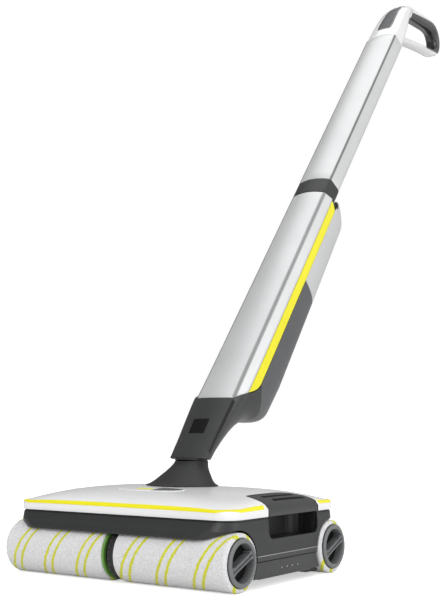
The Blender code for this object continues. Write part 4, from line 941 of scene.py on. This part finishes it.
def spot(height, fraction, span, kind="stick", proud=0.0):
    """The point a fraction of the way along a section, between two depths, on its right half."""
    xs, ys, along, _ = half_at(height, kind)
    rising = np.maximum.accumulate(ys) + np.arange(len(ys)) * 1e-9
    first, last = span(height)
    start = 0.0 if first is None else np.interp(first, rising, along)
    end = along[-1] if last is None else np.interp(last, rising, along)
    at = start + (end - start) * fraction
    x, y = np.interp(at, along, xs), np.interp(at, along, ys)
    if proud:
        step = 0.0006
        xa, xb = np.interp(at - step, along, xs), np.interp(at + step, along, xs)
        ya, yb = np.interp(at - step, along, ys), np.interp(at + step, along, ys)
        size = math.hypot(xb - xa, yb - ya) or 1e-9
        x, y = x + (yb - ya) / size * proud, y - (xb - xa) / size * proud
    return float(x), float(y)


def bound(limit, fraction, span, kind):
    """The height at which a column of a skin meets a boundary that is given by depth."""
    height = limit(0.0)
    for _ in range(14):
        _, y = spot(height, fraction, span, kind)
        height = 0.5 * height + 0.5 * limit(y)
    return height


def grid_of(columns, rows, span, low, high, kind="stick", proud=0.0):
    """Points of a skin: columns of (side, fraction), each running from its low to its high boundary."""
    grid = []
    for side, fraction in columns:
        start = bound(low, fraction, span, kind)
        end = bound(high, fraction, span, kind)
        line = []
        for t in rows:
            height = start + (end - start) * t
            x, y = spot(height, fraction, span, kind, proud)
            line.append((side * x, y, height))
        grid.append(line)
    return grid


def skin_mesh(grid, closed=False):
    many = len(grid[0])
    verts = [point for line in grid for point in line]
    faces = []
    for c in range(len(grid) if closed else len(grid) - 1):
        a, b = c * many, (c + 1) % len(grid) * many
        for r in range(many - 1):
            faces.append((a + r, b + r, b + r + 1, a + r + 1))
    return verts, faces


def across_front(count):
    """Columns from the left limit, over the front middle, to the right limit."""
    return [(math.copysign(1, k), abs(k) / count) for k in range(-count, count + 1)]


def across_back(count):
    """Columns from the right limit, over the back middle, to the left limit."""
    return [(math.copysign(1, -k), 1 - abs(k) / count) for k in range(-count, count + 1)]


def all_round(count):
    right = [(1, k / count) for k in range(count + 1)]
    return right + [(-1, 1 - k / count) for k in range(1, count)]


def evenly(count):
    return [k / count for k in range(count + 1)]


def by_depth(*corners):
    """A boundary height read from (depth, height) corners."""
    depths, heights = zip(*corners)
    return lambda y: float(np.interp(y, depths, heights))


def flat_at(height):
    return lambda y: height


def tank_edge(shift=0.0):
    return lambda y: TANK_TOP + shift - TANK_SLOPE * (y - 0.0176)


def whole(height):
    return None, None


def crease_shade_line(name, low, high, kind, look, half=0.0009, shift=0.0, lift=0.00035, bend=None):
    """Thin dark strip lying in the fold between front and side: painted shade along the crease."""
    for side, sign in (("left", -1), ("right", 1)):
        lines = []
        for edge in (-half, 0.0, half):
            line = []
            for t in evenly(60):
                height = low + (high - low) * t
                xs, ys, along, crease_at = half_at(height, kind)
                at = crease_at + shift + edge
                step = 0.0005
                x, y = np.interp(at, along, xs), np.interp(at, along, ys)
                dx = np.interp(at + step, along, xs) - np.interp(at - step, along, xs)
                dy = np.interp(at + step, along, ys) - np.interp(at - step, along, ys)
                size = math.hypot(dx, dy)
                rise = lift - (0.0001 if edge else 0.0)
                point = (float(sign * (x + dy / size * rise)), float(y - dx / size * rise), height)
                line.append(bend(*point) if bend else point)
            lines.append(line)
        back = [[(x - sign * 0.0006, y + 0.0006, z) for x, y, z in line] for line in lines[::-1]]
        verts, faces = skin_mesh(lines + back, closed=True)
        many, count = len(lines[0]), 6
        faces.append(tuple(c * many for c in range(count)))
        faces.append(tuple(c * many + many - 1 for c in range(count))[::-1])
        piece(f"{name}_{side}", verts, faces, "stick", "silver_satin", (), STICK, 60, look)


SEAM = 0.00025


def neck_flare(x, y, z):
    """The neck's front stands a little proud of the body above it."""
    weight = min(1.0, max(0.0, (0.004 - y) / 0.010)) * min(1.0, max(0.25, z / 0.085))
    return x * (1 + 0.080 * weight), y - 0.0020 * weight, z


def stick_covers():
    level = lambda y: y * math.tan(0.85 * LEAN) + 0.0006
    cheek = by_depth((-0.0200, 0.0745), (-0.0118, 0.0800), (0.0024, 0.1000), (0.0052, 0.1022),
                     (0.0120, 0.1100), (0.0168, 0.1180), (0.0186, 0.1225), (0.0192, 0.1228),
                     (0.0392, 0.0960), (0.0425, 0.0905), (0.0440, 0.0840), (0.0500, 0.0700))
    grid = grid_of(all_round(90), evenly(48), whole, level, lambda y: cheek(y) - SEAM)
    verts, faces = skin_mesh(grid, closed=True)
    neck = piece("neck_skin", [neck_flare(*v) for v in verts], faces, "stick", "charcoal_matte",
                 ["neck_casing"], STICK, 40, BAND_GREY)
    solidify(neck, 0.0026, 0.0005)
    ring = [line[0] for line in grid]
    middle = [(x * 0.96, y * 0.96 + 0.0002, z + 0.0012) for x, y, z in ring]
    deeper = [(x, y, z + 0.0016) for x, y, z in middle]
    piece("neck_floor", *loft_mesh([middle, deeper]), "stick", "charcoal_matte", (), STICK)

    front_low = by_depth((-0.0200, 0.0745), (-0.0118, 0.0800), (0.0024, 0.1000), (0.0027, 0.1003))
    span = lambda height: (None, 0.0028 - SEAM)
    grid = grid_of(across_front(70), evenly(64), span, lambda y: front_low(y) + SEAM,
                   flat_at(COLLAR_LOW - 0.0004))
    solidify(piece("front_skin", *skin_mesh(grid), "stick", "silver_satin", ["body_shell"], STICK, 60),
             0.002)
    # Painted shade: dark strips along the creases of body, tube and neck, darker in the middle.
    crease_shade_line("body_crease", 0.0822, COLLAR_LOW - 0.0008, "stick", CREASE_SHADE_SOFT, 0.0026)
    crease_shade_line("body_crease_mid", 0.0822, COLLAR_LOW - 0.0008, "stick", CREASE_SHADE_MIDDLE, 0.0012,
                lift=0.00050)
    crease_shade_line("tube_crease", COLLAR_HIGH + 0.0006, TUBE_TOP - 0.0007, "tube", CREASE_SHADE_MIDDLE, 0.0019)
    crease_shade_line("tube_crease_mid", COLLAR_HIGH + 0.0006, TUBE_TOP - 0.0007, "tube", CREASE_SHADE_DARK, 0.0009,
                lift=0.00050)
    crease_shade_line("neck_crease_shade", 0.0035, 0.0765, "stick", NECK_SHADE, 0.0021, 0.0014, bend=neck_flare)

    band_low = by_depth((0.0030, 0.1008), (0.0100, 0.1090), (0.0140, 0.1150), (0.0163, 0.1210),
                        (0.0170, 0.1260))
    band_high = by_depth((0.0030, 0.4440), (0.0070, 0.4438), (0.0120, 0.4420), (0.0155, 0.4395),
                         (0.0170, 0.4370))
    span = lambda height: (0.0030 + SEAM, 0.0170)
    for name, side in (("left", -1), ("right", 1)):
        columns = [(side, k / 14) for k in range(15)]
        grid = grid_of(columns, evenly(64), span, lambda y: band_low(y) + SEAM, band_high, proud=0.0003)
        band = piece("side_line_" + name, *skin_mesh(grid), "stick", "yellow_gloss",
                     ["side_stripe_" + name], STICK, 60)
        solidify(band, 0.002, 0.0003)

    span = lambda height: (float(np.interp(height, (0.436, 0.4468, 0.449), (0.0178, 0.0184, 0.0238))), None)
    grid = grid_of(across_back(60), evenly(50), span, tank_edge(0.0009), flat_at(0.4688))
    cover = piece("back_skin", *skin_mesh(grid), "stick", "silver_satin", ["back_cover"], STICK, 60)
    solidify(cover, 0.002)

    for name, low, high, slot, node, proud in (
            ("collar_ring", COLLAR_LOW, COLLAR_HIGH - 0.0003, "charcoal_matte", "stick_collar", 0.0004),
            ("tube", COLLAR_HIGH + 0.0002, TUBE_TOP - 0.0003, "silver_satin", "upper_tube", 0.0)):
        grid = grid_of(all_round(96), evenly(24), whole, flat_at(low), flat_at(high), "tube", proud)
        ring = piece(name, *skin_mesh(grid, closed=True), "stick", slot, [node], STICK, 60)
        solidify(ring, 0.0026 if node == "stick_collar" else 0.0018, 0.0004)


def badge():
    """Plain dark square set on the front of the neck."""
    outline = rounded_rectangle(0.0106, 0.0102, 0.0008, 4, (-0.0008, 0.0362))

    def height(x, z):
        return -(spot(z, 0, whole)[1] + 0.0036 * (x / 0.0256) ** 2) + 0.0004

    verts, faces = sheet_mesh(resample(outline, 0.001), [], height, 0.0008, 0.0002, 0.002,
                              None, (0.0, 0.0003))
    verts = [neck_flare(x, -h, z) for x, z, h in verts]
    piece("badge", verts, faces, "stick", "black_lens", ["badge_plate"], STICK, 50, DEEP_BLACK)


def stick_tank():
    """Clean-water tank: skin, front wall, floor and roof as one closed body."""
    low = by_depth((0.0176, 0.1262), (0.0392, 0.0968), (0.0425, 0.0915), (0.0445, 0.0850), (0.0500, 0.0740),
                   (0.0700, 0.0700))
    span = lambda height: (0.0180, None)
    count = 70
    grid = grid_of(across_back(count), evenly(60), span, low, tank_edge(-0.0004))
    verts, faces = skin_mesh(grid)
    many = len(grid[0])
    wide = len(grid)
    for r in range(many - 1):
        faces.append((r, r + 1, (wide - 1) * many + r + 1, (wide - 1) * many + r))
    for r in (0, many - 1):
        for c in range(count):
            other = wide - 1 - c
            if c + 1 == other - 1:
                faces.append((c * many + r, (c + 1) * many + r, other * many + r))
            else:
                faces.append((c * many + r, (c + 1) * many + r, (other - 1) * many + r, other * many + r))
    tank = piece("tank_body", verts, faces, "fresh_tank", "tank_grey", ["fresh_tank"], STICK, 50)
    bevel(tank, 0.0006, 60)


# ---------------------------------------------------------------- handle
# Middle of the loop's bar: depth, height, half its thickness, half its width.
LOOP = (
    (0.0040, 0.8700, 0.0080, 0.0112), (0.0200, 0.8765, 0.0058, 0.0112), (0.0470, 0.9050, 0.0048, 0.0112),
    (0.0760, 0.9350, 0.0046, 0.0112), (0.1020, 0.9605, 0.0050, 0.0114), (0.1170, 0.9755, 0.0062, 0.0118),
    (0.1232, 0.9880, 0.0072, 0.0120), (0.1205, 0.9990, 0.0080, 0.0120), (0.1120, 1.0085, 0.0092, 0.0120),
    (0.0960, 1.0125, 0.0104, 0.0120), (0.0790, 1.0040, 0.0106, 0.0120), (0.0530, 0.9815, 0.0106, 0.0120),
    (0.0290, 0.9600, 0.0108, 0.0122), (0.0150, 0.9440, 0.0112, 0.0126), (0.0130, 0.9250, 0.0105, 0.0120),
    (0.0125, 0.9020, 0.0110, 0.0116), (0.0060, 0.8830, 0.0110, 0.0112),
)
GRIP_REGION = ((0.0185, 0.9470), (0.0225, 0.9535), (0.0494, 0.9812), (0.0831, 1.0140), (0.0961, 1.0180),
               (0.1085, 1.0145), (0.1195, 1.0050), (0.1262, 0.9930), (0.1330, 0.9890), (0.0900, 0.9484),
               (0.0960, 0.9680), (0.0900, 0.9850), (0.0700, 0.9700), (0.0500, 0.9500), (0.0340, 0.9260))
LENS_LOW, LENS_HIGH = 0.8530, 0.9300


def superellipse(half_a, half_b, count, power):
    points = []
    for k in range(count):
        angle = 2 * math.pi * k / count
        c, s = math.cos(angle), math.sin(angle)
        points.append((half_a * math.copysign(abs(c) ** (2 / power), c),
                       half_b * math.copysign(abs(s) ** (2 / power), s)))
    return points


def handle_blank():
    """Head and loop in one smooth body, before its insert, lens and buttons are parted from it."""
    rings = []
    for height in np.linspace(0.8322, 0.9520, 70):
        columns = all_round(48)
        rings.append([(side * spot(height, f, whole, "head")[0], spot(height, f, whole, "head")[1], height)
                      for side, f in columns])
    verts, faces = loft_mesh(rings)
    path = smooth_path(LOOP, 9, closed=True)
    rings = []
    for i, (y, z, thick, wide) in enumerate(path):
        ahead, behind = path[(i + 1) % len(path)], path[i - 1]
        dy, dz = ahead[0] - behind[0], ahead[1] - behind[1]
        size = math.hypot(dy, dz)
        normal = (-dz / size, dy / size)
        rings.append([(x, y + n * normal[0], z + n * normal[1])
                      for x, n in superellipse(wide, thick, 40, 2.5)])
    more, more_faces = loft_mesh(rings, closed_along=True)
    start = len(verts)
    verts = verts + more
    faces = faces + [tuple(start + i for i in face) for face in more_faces]
    return verts, faces


def corners_cut(outline, times=2):
    for _ in range(times):
        points = []
        for (xa, ya), (xb, yb) in zip(outline, outline[1:] + outline[:1]):
            points.append((0.75 * xa + 0.25 * xb, 0.75 * ya + 0.25 * yb))
            points.append((0.25 * xa + 0.75 * xb, 0.25 * ya + 0.75 * yb))
        outline = points
    return outline


def lens_solid(grow, depth):
    """A slab under the head's front face with the lens's rounded outline."""
    outline = corners_cut([(-0.0128, LENS_LOW), (-0.0060, LENS_LOW - 0.0014), (0.0060, LENS_LOW - 0.0014),
                           (0.0128, LENS_LOW), (0.0118, 0.890), (0.0098, LENS_HIGH - 0.002),
                           (0.0030, LENS_HIGH + 0.0004), (-0.0030, LENS_HIGH + 0.0004),
                           (-0.0098, LENS_HIGH - 0.002), (-0.0118, 0.890)])
    middle = (LENS_LOW + LENS_HIGH) / 2
    scale_x, scale_z = 1 + grow / 0.012, 1 + grow / ((LENS_HIGH - LENS_LOW) / 2)
    outline = [(x * scale_x, middle + (z - middle) * scale_z) for x, z in outline]
    front = [(x, -0.040, z) for x, z in outline]
    back = [(x, spot(z, 0, whole, "head")[1] + depth + 9.0 * x * x, z) for x, z in outline]
    return loft_mesh([front, back])


BUTTON_GAP, BUTTON_TRAVEL = 0.0004, 0.0015


def button_room(name):
    """Clear space round and behind a button, in the stick's own frame."""
    node = NODES[name]
    points = [STICK.inverted() @ (node.matrix_world @ v.co) for v in node.data.vertices]
    low = [min(p[k] for p in points) - BUTTON_GAP for k in range(3)]
    high = [max(p[k] for p in points) + BUTTON_GAP for k in range(3)]
    deep = high[1] + BUTTON_TRAVEL
    outline = [(low[1], low[2]), (deep, low[2]), (deep, high[2]), (low[1], high[2])]
    return helper("room_" + name, *prism_mesh(outline, "x", low[0], high[0]), STICK)


def handle():
    verts, faces = handle_blank()
    blank = piece("handle_white", verts, faces, "stick", "white_gloss", ["handle_shell"], STICK)
    remesh = blank.modifiers.new("skin", "REMESH")
    remesh.mode = "VOXEL"
    remesh.voxel_size = 0.0010
    relax = blank.modifiers.new("relax", "SMOOTH")
    relax.factor = 0.6
    relax.iterations = 9
    bake(blank, 60)
    parts = []
    for name, slot, nodes, look in (("grip_soft", "soft_black", ["grip_insert"], GRIP_GREY),
                                    ("lens_frame", "black_lens", ["display_lens"], LOOKS["black_lens"]),
                                    ("lens", "black_lens", [], LENS_GREY)):
        copy = bpy.data.objects.new(name, blank.data.copy())
        bpy.context.scene.collection.objects.link(copy)
        copy.data.materials.clear()
        copy.data.materials.append(look)
        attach(copy, "stick")
        if nodes:
            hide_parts(*nodes)
        parts.append(copy)
    region = resample(list(GRIP_REGION), 0.004)
    turned = region[::-1]
    carve(parts[0], [helper("grip_in", *prism_mesh(offset_ring(turned, 0.0002), "x", -0.05, 0.05), STICK)],
          "INTERSECT", 50)
    carve(parts[1], [helper("lens_in", *lens_solid(-0.0003, 0.0022), STICK)], "INTERSECT", 50)
    carve(parts[1], [helper("lens_seat", *lens_solid(-0.0022, 0.0008), STICK)], "DIFFERENCE", 50)
    carve(parts[2], [helper("lens_mid", *lens_solid(-0.0023, 0.0006), STICK)], "INTERSECT", 50)
    room = [helper("grip_out", *prism_mesh(offset_ring(turned, -0.0002), "x", -0.05, 0.05), STICK),
            helper("lens_out", *lens_solid(0.0003, 0.0026), STICK), button_room("mode_button")]
    carve(blank, room, "DIFFERENCE", 50)


rollers()
arm_ribs()
covers()
casing()
tray()
skids()
boot()
stick_covers()
badge()
stick_tank()
handle()

# ---------------------------------------------------------------- remaining CAD nodes
for part in frame["record"]["subparts"]:
    node = NODES[part["node"]]
    look = LOOKS[part["material_slot"]]
    node.data.materials.clear()
    node.data.materials.append(look)
for name in ("tank_cap", "tank_latch", "mode_button", "power_button", "motor_can"):
    NODES[name].data.set_sharp_from_angle(angle=math.radians(35))

# ---------------------------------------------------------------- floor, light and camera
scene = bpy.context.scene
scene.view_settings.view_transform = "Standard"
verts, faces = loft_mesh([[(x, y, z) for x, y in rounded_rectangle(6, 6, 1, 8)] for z in (-0.02, -0.0002)])
mesh = bpy.data.meshes.new("floor")
mesh.from_pydata(verts, [], faces)
floor = bpy.data.objects.new("floor", mesh)
scene.collection.objects.link(floor)
floor_look = material("floor", (0.94, 0.94, 0.94), 0.9, spread=0.004, patch=3, grain=60)
floor_shader = floor_look.node_tree.nodes["Principled BSDF"]
floor_shader.inputs["Emission Color"].default_value = (1, 1, 1, 1)
floor_tree = floor_look.node_tree
seen_floor = floor_tree.nodes.new("ShaderNodeLightPath")
glow = math_node(floor_tree, "MULTIPLY", seen_floor.outputs["Is Camera Ray"], 0.55)
floor_tree.links.new(glow, floor_shader.inputs["Emission Strength"])
floor.data.materials.append(floor_look)

world = bpy.data.worlds.new("studio")
scene.world = world
world.use_nodes = True
tree = world.node_tree
background = tree.nodes["Background"]
place = tree.nodes.new("ShaderNodeTexCoord")
split = tree.nodes.new("ShaderNodeSeparateXYZ")
tree.links.new(place.outputs["Generated"], split.inputs[0])
rise = map_node(tree, split.outputs["X"], from_min=-0.6, from_max=1.0, to_min=0.30, to_max=0.90)
path = tree.nodes.new("ShaderNodeLightPath")
seen = math_node(tree, "MAXIMUM", path.outputs["Is Camera Ray"], rise)
tree.links.new(seen, background.inputs["Strength"])
background.inputs["Color"].default_value = (1, 1, 1, 1)


def area_light(name, place, target, size, power):
    data = bpy.data.lights.new(name, "AREA")
    data.shape = "RECTANGLE"
    data.size, data.size_y = size
    data.energy = power
    lamp = bpy.data.objects.new(name, data)
    scene.collection.objects.link(lamp)
    lamp.location = place
    lamp.rotation_euler = (Vector(target) - Vector(place)).to_track_quat("-Z", "Y").to_euler()
    return lamp


area_light("key", (0.6, -3.6, 2.6), (0, -0.1, 0.35), (2.0, 2.8), 70)
area_light("side", (3.9, 0.3, 1.3), (0, 0, 0.35), (1.6, 3.2), 46)
area_light("top", (-0.5, 0.5, 4.2), (0, -0.1, 0.2), (3.0, 3.0), 46)

camera_data = bpy.data.cameras.new("camera")
camera_data.sensor_width = 36
camera_data.lens = 61.5
camera = bpy.data.objects.new("camera", camera_data)
scene.collection.objects.link(camera)
camera.location = (0.7120, HEAD_Y - 0.9184, 0.1555)
camera.rotation_euler = (math.radians(97.19), 0, math.radians(35.28))
scene.camera = camera
